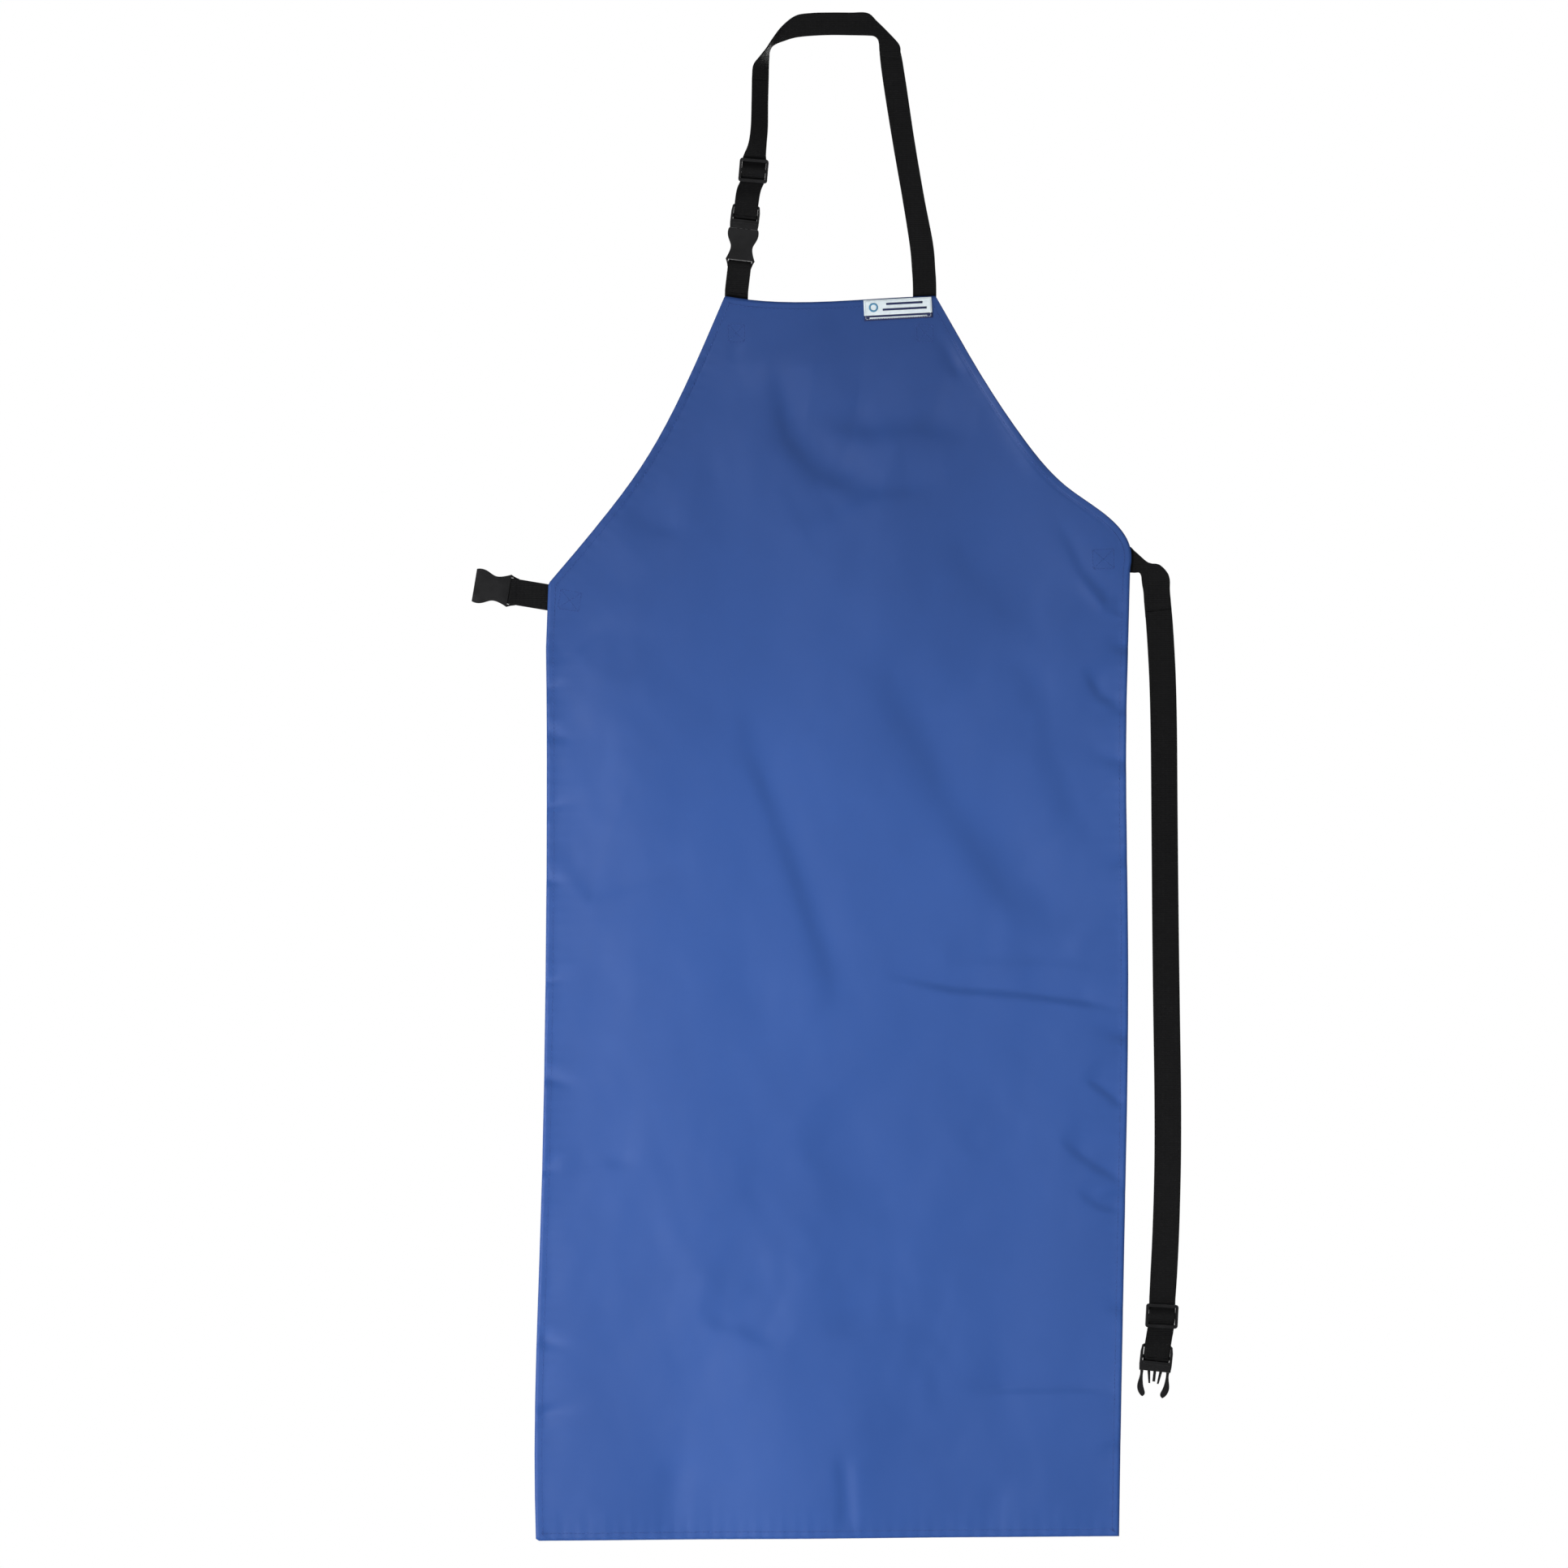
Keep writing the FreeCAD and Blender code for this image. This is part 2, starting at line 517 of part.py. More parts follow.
def strap_route(points):
    """Centre line of a flat strap in XZ: straight runs joined by the largest tangent arcs."""
    edges = []
    start = vec(points[0][0], 0, points[0][1])
    for before, corner, after in zip(points, points[1:], points[2:]):
        c = vec(corner[0], 0, corner[1])
        a = vec(before[0], 0, before[1]) - c
        b = vec(after[0], 0, after[1]) - c
        shorter = min(a.Length, b.Length)
        trim = 0.45 * shorter
        a.normalize()
        b.normalize()
        half_turn = 0.5 * (math.pi - a.getAngle(b))
        radius = trim / math.tan(half_turn)
        print("waist strap bend radius %.0f mm" % radius)
        middle = a + b
        middle.normalize()
        centre = c + middle * (radius / math.cos(half_turn))
        arc_mid = centre - middle * radius
        edges.append(Part.makeLine(start, c + a * trim))
        edges.append(Part.Arc(c + a * trim, arc_mid, c + b * trim).toShape())
        start = c + b * trim
    edges.append(Part.makeLine(start, vec(points[-1][0], 0, points[-1][1])))
    return Part.Wire(edges)


def strap_along(route, width):
    """Flat webbing of that width swept along a route in XZ."""
    first = route.Edges[0]
    start = first.Vertexes[0].Point
    direction = first.tangentAt(first.FirstParameter)
    across = direction.cross(vec(0, 1, 0)).normalize()
    corners = [start + across * (0.5 * width * i) + vec(0, 0.5 * WEB_T * j, 0)
               for i, j in ((-1, -1), (1, -1), (1, 1), (-1, 1))]
    section = Part.makePolygon(corners + [corners[0]])
    strap = route.makePipeShell([section], True, False)
    print("strap volume %.0f, section x length %.0f" % (strap.Volume, width * WEB_T * route.Length))
    return strap


def make_waist_right(nodes):
    """Turned tab, long hanging strap, slide and plug half at the right side."""
    y0 = -0.5 * WEB_T
    y1 = 0.5 * WEB_T
    tab_low = WAIST_EXIT_Z + 2 * GAP
    tab = [(310.8, -533.5), (331.0, -550.0), (343.0, -551.5), (351.5, -560.5),
           (353.2, tab_low), (324.6, tab_low), (322.6, -560.0), (311.0, -562.0)]
    roll = Part.makeCylinder(1.7, 24.0, vec(331.5, 0.4, -551.6), vec(0.82, 0, -0.57))
    nodes["waist_strap_tab"] = plate(tab, y0, y1).fuse(roll).removeSplitter()
    strap = strap_along(strap_route(WAIST_ROUTE), WAIST_WEB_W)
    nodes["waist_strap_top"] = strap.common(block(300, 400, -10, 10, WAIST_TOP_END_Z, WAIST_EXIT_Z))
    nodes["waist_strap_run"] = strap.common(block(300, 400, -10, 10, -1330.0, WAIST_TOP_END_Z))
    size = WAIST_SIZE
    nodes["waist_male_buckle"] = place(scaled(male_frame(), size), WAIST_BUCKLE_POS, WAIST_LEAN)
    for side, name in ((-1, "waist_latch_arm_left"), (1, "waist_latch_arm_right")):
        arm = scaled(latch_arm(side, WAIST_ARM_X, WAIST_ARM_X + 0.6), size)
        nodes[name] = place(arm, WAIST_BUCKLE_POS, WAIST_LEAN)
    slide = tri_glide(SLIDE_W * size, SEWN_WEB_W)
    nodes["waist_tri_glide"] = place(slide, WAIST_SLIDE_POS, WAIST_SLIDE_LEAN)
    nodes["waist_end_loop"] = place(end_loop(SEWN_WEB_W), WAIST_SLIDE_POS, WAIST_SLIDE_LEAN)
    run = doubled_run(MALE_BAR_Z[0] * size, 0.5 * BAR_T * size, 28.0, SEWN_WEB_W, 41.0)
    nodes["waist_strap_doubled"] = place(run, WAIST_BUCKLE_POS, WAIST_LEAN)


def main():
    os.makedirs("parts", exist_ok=True)
    nodes = {}
    make_neck_loop(nodes)
    make_neck_hardware(nodes)
    make_panels(nodes)
    make_label(nodes)
    make_sewn_ends(nodes)
    make_waist_left(nodes)
    make_waist_right(nodes)
    for name, shape in nodes.items():
        facts = (name, len(shape.Solids), shape.Volume, shape.isValid())
        print("%-24s solids %d  volume %.0f  valid %s" % facts)
        shape.exportStep("parts/%s.step" % name)


main()
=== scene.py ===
import math

import bpy
import numpy as np
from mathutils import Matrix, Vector, kdtree
from mathutils import noise as mnoise


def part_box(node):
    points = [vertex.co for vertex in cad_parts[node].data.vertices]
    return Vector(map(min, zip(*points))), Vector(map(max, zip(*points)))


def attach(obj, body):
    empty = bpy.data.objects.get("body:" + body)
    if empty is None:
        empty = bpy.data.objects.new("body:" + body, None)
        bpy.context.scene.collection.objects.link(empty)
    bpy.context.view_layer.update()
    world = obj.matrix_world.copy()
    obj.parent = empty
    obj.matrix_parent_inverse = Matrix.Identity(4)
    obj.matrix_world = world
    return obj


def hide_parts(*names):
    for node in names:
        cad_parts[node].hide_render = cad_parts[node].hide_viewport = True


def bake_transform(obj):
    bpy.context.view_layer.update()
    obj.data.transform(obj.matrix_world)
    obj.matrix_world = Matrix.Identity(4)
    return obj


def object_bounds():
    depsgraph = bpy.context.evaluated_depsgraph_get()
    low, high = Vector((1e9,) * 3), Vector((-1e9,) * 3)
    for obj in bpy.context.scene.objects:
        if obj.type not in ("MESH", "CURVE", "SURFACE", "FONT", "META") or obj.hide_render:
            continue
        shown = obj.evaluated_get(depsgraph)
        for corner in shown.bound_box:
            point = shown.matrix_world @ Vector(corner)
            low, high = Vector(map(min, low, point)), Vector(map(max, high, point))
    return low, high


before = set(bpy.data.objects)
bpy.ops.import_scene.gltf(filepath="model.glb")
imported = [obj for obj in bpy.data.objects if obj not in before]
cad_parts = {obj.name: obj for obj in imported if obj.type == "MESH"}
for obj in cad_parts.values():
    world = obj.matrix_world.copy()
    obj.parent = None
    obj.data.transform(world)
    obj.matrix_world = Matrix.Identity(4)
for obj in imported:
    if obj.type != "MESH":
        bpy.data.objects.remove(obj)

# A coated bib apron that hangs from its neck loop. Metres, in the CAD frame: +X right seen
# from the front, +Z up, the front faces -Y. Cloth, webbing, stitching and label are built
# here; the moulded buckles and slides are the CAD's own, with a moulded-plastic material.

CAD_BOX = [list(corner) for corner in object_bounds()]
SHELL_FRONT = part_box("bib_shell")[0][1]
SHELL_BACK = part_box("bib_shell")[1][1]
LINING_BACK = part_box("bib_lining")[1][1]
BIB_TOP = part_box("bib_shell")[1][2]
HEM_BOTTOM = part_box("skirt_shell")[0][2]
WEB_T = 0.0016              # webbing thickness
LOOPED_T = 0.0013           # webbing pressed thin where it loops on a buckle's bar
THREADED_T = 0.0014         # webbing where it threads the neck slide
NECK_W = 0.0245             # neck webbing width
WAIST_W = 0.028             # waist webbing width
HEM_W = 0.008               # turned hem, edge to stitching
FOLD_Z = -0.64              # the fold across the apron


# ---- camera ----

FRAME_PER_HEIGHT = 1.026    # picture width over the apron's height
AIM_OFFSET = (-0.0444, 0, -0.0077)


def make_camera():
    """A long lens straight in front, so that the apron is seen almost flat."""
    low, high = (Vector(c) for c in CAD_BOX)
    middle = 0.5 * (low + high)
    height = high.z - low.z
    data = bpy.data.cameras.new("camera")
    data.sensor_width = 36
    data.lens = 264
    data.clip_end = 60
    camera = bpy.data.objects.new("camera", data)
    bpy.context.collection.objects.link(camera)
    frame_width = FRAME_PER_HEIGHT * height
    distance = frame_width * data.lens / data.sensor_width
    aim = middle + Vector(AIM_OFFSET)
    camera.location = aim + Vector((0, -distance, 0))
    camera.rotation_euler = (math.radians(90), 0, 0)
    bpy.context.scene.camera = camera


# ---- materials ----

def node_material(name, specular=0.5):
    """A new material, its node tree, its shader, and object coordinates in metres."""
    material = bpy.data.materials.new(name)
    material.use_nodes = True
    tree = material.node_tree
    shader = tree.nodes["Principled BSDF"]
    shader.inputs["Specular IOR Level"].default_value = specular
    coords = tree.nodes.new("ShaderNodeTexCoord")
    return material, tree, shader, coords.outputs["Object"]


def add(tree, kind, **inputs):
    """A node with constants on its sockets; an underscore in a name stands for a space."""
    node = tree.nodes.new(kind)
    for key, value in inputs.items():
        node.inputs[key.replace("_", " ")].default_value = value
    return node


def noise(tree, vector, scale, detail=3, roughness=0.5):
    """Noise with that many cells to the metre."""
    node = add(tree, "ShaderNodeTexNoise", Scale=scale, Detail=detail, Roughness=roughness)
    tree.links.new(vector, node.inputs["Vector"])
    return node.outputs["Fac"]


def wave(tree, vector, scale, direction, distortion=0.0):
    """Parallel bands across one axis."""
    node = add(tree, "ShaderNodeTexWave", Scale=scale, Distortion=distortion)
    node.bands_direction = direction
    tree.links.new(vector, node.inputs["Vector"])
    return node.outputs["Fac"]


def colour_from(tree, shader, factor, stops):
    """Base colour that follows a factor: each stop is (position, colour)."""
    node = tree.nodes.new("ShaderNodeValToRGB")
    while len(node.color_ramp.elements) < len(stops):
        node.color_ramp.elements.new(0.5)
    for element, (position, colour) in zip(node.color_ramp.elements, stops):
        element.position = position
        element.color = (*colour, 1)
    tree.links.new(factor, node.inputs["Fac"])
    tree.links.new(node.outputs["Color"], shader.inputs["Base Color"])


def mix_value(tree, a, b, operation="MULTIPLY"):
    """Two values multiplied, or joined by another operation."""
    node = tree.nodes.new("ShaderNodeMath")
    node.operation = operation
    tree.links.new(a, node.inputs[0])
    tree.links.new(b, node.inputs[1])
    return node.outputs[0]


def bump(tree, shader, height, strength, distance):
    """Relief from a height."""
    node = add(tree, "ShaderNodeBump", Strength=strength, Distance=distance)
    tree.links.new(height, node.inputs["Height"])
    tree.links.new(node.outputs["Normal"], shader.inputs["Normal"])


def remap(tree, value, low, high, to_low, to_high):
    """A value taken from one range to another, and held at its ends."""
    node = add(tree, "ShaderNodeMapRange", From_Min=low, From_Max=high, To_Min=to_low, To_Max=to_high)
    tree.links.new(value, node.inputs["Value"])
    return node.outputs["Result"]


def roughness_from(tree, shader, factor, low, high):
    """Roughness that varies between two values with a factor."""
    tree.links.new(remap(tree, factor, 0, 1, low, high), shader.inputs["Roughness"])


PAINTED_SHADE_TOP = -0.34            # painted shade: the cloth's colour is darkest above this height
PAINTED_SHADE_LOW = -0.8             # and at its full colour below this one
PAINTED_SIDE_SHADE = (-0.31, -0.1)   # painted shade on the left side, darker towards its edge
# the colour where the painted shade is deepest, and the full colour
PAINTED_SHADE_BLUE = (0.0048, 0.0172, 0.068)
FULL_BLUE = (0.008, 0.0275, 0.104)


def shell_material():
    """Coated royal-blue cloth: fine weave under a soft coat, mottled by handling, with painted shade that
    darkens the bib's top and the left side.
    """
    material, tree, shader, vector = node_material("coated_blue_cloth", 0.1)
    mottle = remap(tree, noise(tree, vector, 5.5, 4, 0.55), 0.3, 0.7, 0.0, 0.16)
    parts = tree.nodes.new("ShaderNodeSeparateXYZ")
    tree.links.new(vector, parts.inputs[0])
    # painted shade: the colour darkens from below the fold up to the bib's top
    painted_top_shade = remap(tree, parts.outputs["Z"], PAINTED_SHADE_TOP, PAINTED_SHADE_LOW, 0.0, 0.8)
    # painted shade: the left side's colour darkens towards its edge
    side = remap(tree, parts.outputs["X"], *PAINTED_SIDE_SHADE, -0.34, 0.0)
    # random mottle plus the painted shade of the top and the left side
    mottle_and_painted_shade = mix_value(tree, mix_value(tree, mottle, painted_top_shade, "ADD"), side, "ADD")
    colour_from(tree, shader, mottle_and_painted_shade, [(0.0, PAINTED_SHADE_BLUE), (0.96, FULL_BLUE)])
    weave = mix_value(tree, wave(tree, vector, 420, "X"), wave(tree, vector, 420, "Z"), "ADD")
    grain = mix_value(tree, weave, noise(tree, vector, 160, 4, 0.6), "ADD")
    bump(tree, shader, grain, 0.16, 0.0006)
    roughness_from(tree, shader, noise(tree, vector, 24, 3, 0.6), 0.44, 0.6)
    return material


def lining_material():
    """Plain-weave lining, duller than the shell."""
    material, tree, shader, vector = node_material("blue_lining_cloth", 0.1)
    blotch = noise(tree, vector, 8, 4, 0.6)
    colour_from(tree, shader, blotch, [(0.3, (0.016, 0.03, 0.095)), (0.7, (0.022, 0.041, 0.125))])
    weave = mix_value(tree, wave(tree, vector, 260, "X", 0.4), wave(tree, vector, 260, "Z", 0.4))
    bump(tree, shader, weave, 0.35, 0.0007)
    roughness_from(tree, shader, noise(tree, vector, 60, 3, 0.6), 0.72, 0.88)
    return material


def webbing_material():
    """Black nylon webbing: close cross ribs broken by long warp lines, with lint and sheen."""
    material, tree, shader, vector = node_material("black_webbing", 0.035)
    fibre = noise(tree, vector, 900, 3, 0.6)
    colour_from(tree, shader, fibre, [(0.3, (0.001, 0.001, 0.0011)), (0.75, (0.0027, 0.0027, 0.0029))])
    ribs = wave(tree, vector, 230, "Z", 0.8)
    warp = wave(tree, vector, 300, "X", 0.5)
    bump(tree, shader, mix_value(tree, ribs, warp, "ADD"), 0.5, 0.0006)
    roughness_from(tree, shader, noise(tree, vector, 45, 3, 0.6), 0.58, 0.78)
    return material


def plastic_material():
    """Moulded acetal: fine spark-eroded grain, paler where handling has polished it."""
    material, tree, shader, vector = node_material("moulded_black_plastic", 0.08)
    wear = noise(tree, vector, 70, 4, 0.6)
    colour_from(tree, shader, wear, [(0.35, (0.0014, 0.0014, 0.0016)), (0.75, (0.0032, 0.0032, 0.0035))])
    bump(tree, shader, noise(tree, vector, 1500, 3, 0.7), 0.22, 0.0003)
    roughness_from(tree, shader, wear, 0.26, 0.42)
    return material


def label_material(name, low, high):
    """Woven label cloth with a fine satin rib."""
    material, tree, shader, vector = node_material(name, 0.12)
    colour_from(tree, shader, noise(tree, vector, 300, 3, 0.6), [(0.3, low), (0.7, high)])
    ribs = mix_value(tree, wave(tree, vector, 520, "Z"), wave(tree, vector, 700, "X"), "ADD")
    bump(tree, shader, ribs, 0.4, 0.0004)
    roughness_from(tree, shader, noise(tree, vector, 90), 0.5, 0.7)
    return material


def thread_material(name, low, high):
    """Twisted sewing thread."""
    material, tree, shader, vector = node_material(name, 0.12)
    colour_from(tree, shader, noise(tree, vector, 1400, 2), [(0.3, low), (0.7, high)])
    bump(tree, shader, wave(tree, vector, 1200, "DIAGONAL"), 0.4, 0.0002)
    roughness_from(tree, shader, noise(tree, vector, 500), 0.45, 0.7)
    return material


def floor_material():
    """Pale, faintly uneven studio floor."""
    material, tree, shader, vector = node_material("pale_floor")
    colour_from(tree, shader, noise(tree, vector, 1.5), [(0.3, (0.78,) * 3), (0.7, (0.82,) * 3)])
    shader.inputs["Roughness"].default_value = 0.8
    return material


# ---- the panel's outline and drape ----

def mesh_of(node):
    """A CAD node's points, and the pairs of points that its edges join."""
    obj = bpy.data.objects[node]
    count = len(obj.data.vertices)
    co = np.empty(count * 3)
    obj.data.vertices.foreach_get("co", co)
    edges = np.empty(len(obj.data.edges) * 2, int)
    obj.data.edges.foreach_get("vertices", edges)
    return co.reshape(-1, 3), edges.reshape(-1, 2)


def crossings(node, axis, value):
    """Lowest and highest place where a CAD plate's edges cross a level of x (0) or z (2)."""
    co, edges = PLATES[node]
    a = co[edges[:, 0]]
    b = co[edges[:, 1]]
    hit = (a[:, axis] - value) * (b[:, axis] - value) <= 0
    hit &= np.abs(a[:, axis] - b[:, axis]) > 1e-9
    a = a[hit]
    b = b[hit]
    t = (value - a[:, axis]) / (b[:, axis] - a[:, axis])
    other = a[:, 2 - axis] + t * (b[:, 2 - axis] - a[:, 2 - axis])
    return other.min(), other.max()


PLATES = {name: mesh_of(name) for name in ("bib_shell", "skirt_shell")}
ROWS = 400
COLUMNS = 180
TOP_ROW_DROP = 0.0045       # the first level row, below the bib's dipping top edge
LOW_ROW_RISE = 0.006        # the last level row, above the hem
TOP_REACH = 0.03            # rows this near the top bend towards its edge
LOW_REACH = 0.04            # and rows this near the hem towards the hem
PLATE_GAP = 0.0025          # half the gap between the bib's and skirt's plates, and a margin
RING_STEP = 0.0012          # spacing of the points round the outline


def panel_grid(rows, columns):
    """x and z of a grid that fills the whole apron outline, top edge to hem."""
    row_z = np.linspace(BIB_TOP - TOP_ROW_DROP, HEM_BOTTOM + LOW_ROW_RISE, rows)
    left = np.empty(rows)
    right = np.empty(rows)
    for i, z in enumerate(row_z):
        node = "bib_shell" if z > FOLD_Z + PLATE_GAP else "skirt_shell"
        level = z if node == "bib_shell" else min(z, FOLD_Z - PLATE_GAP)
        left[i], right[i] = crossings(node, 2, level)
    u = np.linspace(0, 1, columns)
    x = left[:, None] + (right - left)[:, None] * u[None, :]
    z = np.repeat(row_z[:, None], columns, axis=1)
    top = np.array([crossings("bib_shell", 0, min(max(v, left[0]), right[0]))[1] for v in x[0]])
    inside = np.clip(x[-1], left[-1] + 1e-4, right[-1] - 1e-4)
    low = np.array([crossings("skirt_shell", 0, v)[0] for v in inside])
    top_share = np.clip(1 - (row_z[0] - row_z) / TOP_REACH, 0, 1)[:, None]
    low_share = np.clip(1 - (row_z - row_z[-1]) / LOW_REACH, 0, 1)[:, None]
    z += top_share * (top - row_z[0])[None, :] + low_share * (low - row_z[-1])[None, :]
    return x, z


def border(grid):
    """What stands along a grid's four sides, once round."""
    return np.concatenate([grid[0, :], grid[1:, -1], grid[-1, -2::-1], grid[-2:0:-1, 0]])


def outline_tree(x, z):
    """The outline as points in order, for the distance to the nearest edge."""
    ring = resample(np.column_stack([border(x), border(z)]), RING_STEP)
    tree = kdtree.KDTree(len(ring))
    for i, (px, pz) in enumerate(ring):
        tree.insert((px, 0, pz), i)
    tree.balance()
    return tree, ring


def resample(points, step):
    """A closed line of points, made again with even steps."""
    closed = np.vstack([points, points[:1]])
    gaps = np.hypot(*np.diff(closed, axis=0).T)
    length = np.concatenate([[0], np.cumsum(gaps)])
    count = int(length[-1] / step)
    at = np.linspace(0, length[-1], count, endpoint=False)
    return np.column_stack([np.interp(at, length, closed[:, k]) for k in (0, 1)])


def edge_distance(x, z):
    """Distance to the outline, and how far round the outline the nearest place is."""
    flat_x = np.ravel(x)
    flat_z = np.ravel(z)
    distance = np.empty(flat_x.size)
    place = np.empty(flat_x.size)
    for i in range(flat_x.size):
        _, index, d = OUTLINE.find((flat_x[i], 0, flat_z[i]))
        distance[i] = d
        place[i] = index * RING_STEP
    return distance.reshape(np.shape(x)), place.reshape(np.shape(x))


def line_distance(x, z, points):
    """Distance to a line of points, how far along it that is, 0 to 1, and the side, +1 left."""
    best = np.full(np.shape(x), 9.0)
    along = np.zeros(np.shape(x))
    side = np.ones(np.shape(x))
    spans = len(points) - 1
    for k, ((ax, az), (bx, bz)) in enumerate(zip(points, points[1:])):
        dx = bx - ax
        dz = bz - az
        t = np.clip(((x - ax) * dx + (z - az) * dz) / (dx * dx + dz * dz), 0, 1)
        d = np.hypot(x - ax - t * dx, z - az - t * dz)
        nearer = d < best
        along = np.where(nearer, (k + t) / spans, along)
        side = np.where(nearer, np.where(dx * (z - az) - dz * (x - ax) > 0, 1, -1), side)
        best = np.where(nearer, d, best)
    return best, along, side


# Folds: the line each follows (x, z), its half width, and its depth; a negative one stands out.
FOLDS = [
    ([(-0.22, -0.62), (-0.225, -0.74), (-0.205, -0.88)], 0.04, -0.002),
    ([(0.2, -0.98), (0.215, -1.15), (0.2, -1.33)], 0.05, 0.0014),
    ([(-0.12, -1.05), (-0.135, -1.2), (-0.12, -1.39)], 0.055, -0.0012),
    ([(0.012, -1.478), (0.016, -1.52), (0.018, -1.567)], 0.0085, 0.0019),
    ([(-0.16, -1.48), (-0.166, -1.53), (-0.168, -1.571)], 0.018, 0.002),
    ([(0.178, -1.5), (0.17, -1.54), (0.168, -1.568)], 0.02, 0.0018),
    ([(0.152, -0.338), (0.172, -0.372), (0.19, -0.402), (0.226, -0.47)], 0.012, -0.0026),
    ([(0.102, -0.3), (0.122, -0.33), (0.138, -0.36)], 0.008, 0.0022),
    ([(0.258, -0.56), (0.282, -0.59), (0.304, -0.598)], 0.008, -0.0022),
    ([(-0.099, -0.284), (-0.096, -0.312), (-0.104, -0.345)], 0.008, 0.002),
    ([(0.01, -0.3), (-0.03, -0.33), (-0.1, -0.35)], 0.02, -0.0022),
]

# Steps: the cloth drops back on the left-hand side of the way the line runs, over about two
# half widths, and comes forward again over the recovery length.
STEPS = [
    ([(-0.062, -0.352), (-0.046, -0.42), (-0.012, -0.458), (0.05, -0.482)], 0.0123, 0.0088, 0.07),
    ([(-0.026, -0.402), (0.04, -0.412), (0.09, -0.408), (0.15, -0.42)], 0.0141, 0.0076, 0.06),
    ([(-0.03, -0.52), (0.04, -0.478), (0.12, -0.47)], 0.0106, 0.0042, 0.05),
    ([(-0.1, -0.69), (-0.074, -0.78), (-0.04, -0.87), (-0.008, -0.965), (0.01, -1.03)],
     0.0106, 0.0053, 0.09),
    ([(0.035, -0.64), (0.08, -0.72), (0.12, -0.8), (0.18, -0.89), (0.26, -0.95)],
     0.0229, 0.0096, 0.12),
    ([(0.19, -0.64), (0.215, -0.7), (0.24, -0.79), (0.262, -0.85)], 0.0158, 0.0042, 0.07),
    ([(0.05, -0.98), (0.125, -0.996), (0.195, -1.001), (0.262, -1.01), (0.3, -1.016)],
     0.003, 0.0046, 0.024),
    ([(0.12, -0.966), (0.2, -0.965), (0.3, -0.972)], 0.0062, 0.0022, 0.03),
    ([(0.144, -1.418), (0.19, -1.414), (0.25, -1.413), (0.3, -1.416)], 0.003, 0.0032, 0.024),
    ([(-0.008, -1.356), (0.045, -1.349), (0.095, -1.343)], 0.007, 0.0027, 0.04),
    ([(-0.14, -1.339), (-0.095, -1.35), (-0.05, -1.372)], 0.0079, 0.0031, 0.04),
    ([(-0.29, -0.842), (-0.25, -0.9), (-0.19, -0.884), (-0.14, -0.862)], 0.0088, 0.0026, 0.04),
    ([(0.237, -1.15), (0.262, -1.172), (0.29, -1.19), (0.308, -1.2)], 0.0037, 0.0034, 0.02),
    ([(0.262, -1.086), (0.286, -1.104), (0.308, -1.122)], 0.003, 0.0031, 0.016),
    ([(0.256, -1.206), (0.28, -1.222), (0.306, -1.23)], 0.0035, 0.0027, 0.016),
    ([(0.236, -0.51), (0.262, -0.56), (0.29, -0.598), (0.308, -0.606)], 0.0048, 0.0044, 0.024),
    ([(0.262, -0.66), (0.28, -0.69), (0.306, -0.706)], 0.0044, 0.0037, 0.022),
    ([(-0.285, -0.622), (-0.24, -0.6), (-0.19, -0.56)], 0.0106, 0.0032, 0.05),
    ([(-0.29, -0.66), (-0.262, -0.64), (-0.225, -0.612)], 0.0062, 0.0022, 0.03),
    ([(-0.222, -0.492), (-0.19, -0.515), (-0.15, -0.52)], 0.0088, 0.0027, 0.04),
    ([(0.12, -0.52), (0.16, -0.58), (0.23, -0.63)], 0.0194, 0.0048, 0.08),
    ([(-0.04, -1.14), (0.01, -1.19), (0.06, -1.26)], 0.0229, 0.0042, 0.09),
    ([(-0.28, -1.185), (-0.235, -1.176), (-0.2, -1.182)], 0.0062, 0.0019, 0.03),
    ([(0.17, -0.352), (0.186, -0.392), (0.214, -0.44), (0.25, -0.484)], 0.0062, 0.0031, 0.026),
]

FOLD_TAPER = 4.5            # how fast a fold fades towards its ends
FOLD_END_SHARE = 0.12       # and the share of its depth that is left there
STEP_TAPER = 4.0

# Puckers along the side hems (z), with the x of each side's edge.
LEFT_PUCKERS = [-0.683, -0.725, -0.806, -0.878, -0.988, -1.085, -1.182, -1.36, -1.44]
RIGHT_PUCKERS = [-0.64, -0.702, -0.76, -0.86, -1.045, -1.21, -1.33, -1.47]
PUCKERED_SIDES = [(-1, LEFT_PUCKERS, -0.299), (1, RIGHT_PUCKERS, 0.309)]
PUCKER_DEPTH = 0.0036
PUCKER_HALF = 0.0085
PUCKER_REACHES = (0.03, 0.042, 0.054)

# Places sewn flat: the webbing ends and the label, each over about this half width and height.
ANCHOR_HALF_W = 0.045
ANCHOR_HALF_H = 0.035
ANCHORS = [(-0.099, -0.29), (0.0975, -0.29), (-0.285, -0.588), (0.298, -0.547), (0.07, -0.283)]
HELD_REACH = 0.075          # the bib is held straight this near its top edge
HELD_SHARE = 0.12           # share of the drape that is left at the very top

# Swells of the hanging cloth: height, wavelength, start and lean, across x and then down z.
HANG_TOP = -0.35            # those across begin at this height
HANG_DROP = 1.2             # and are whole this far below it
ACROSS = [(0.0022, 0.41, 0.6, 1.1), (0.001, 0.23, 2.1, -1.9)]
DOWN = (0.0022, 0.57, 0.8, 3.0)

# The sewn edge: ripples of the hem, then its stitch line and the step where it ends.
RIPPLE_REACH = 0.014
RIPPLE_DEPTH = 0.00035
RIPPLE_LENGTH = 0.0135
STITCH_LINE_DEPTH = 0.0006
STITCH_LINE_HALF = 0.0011
HEM_STEP = 0.00045
HEM_STEP_WIDTH = 0.0006


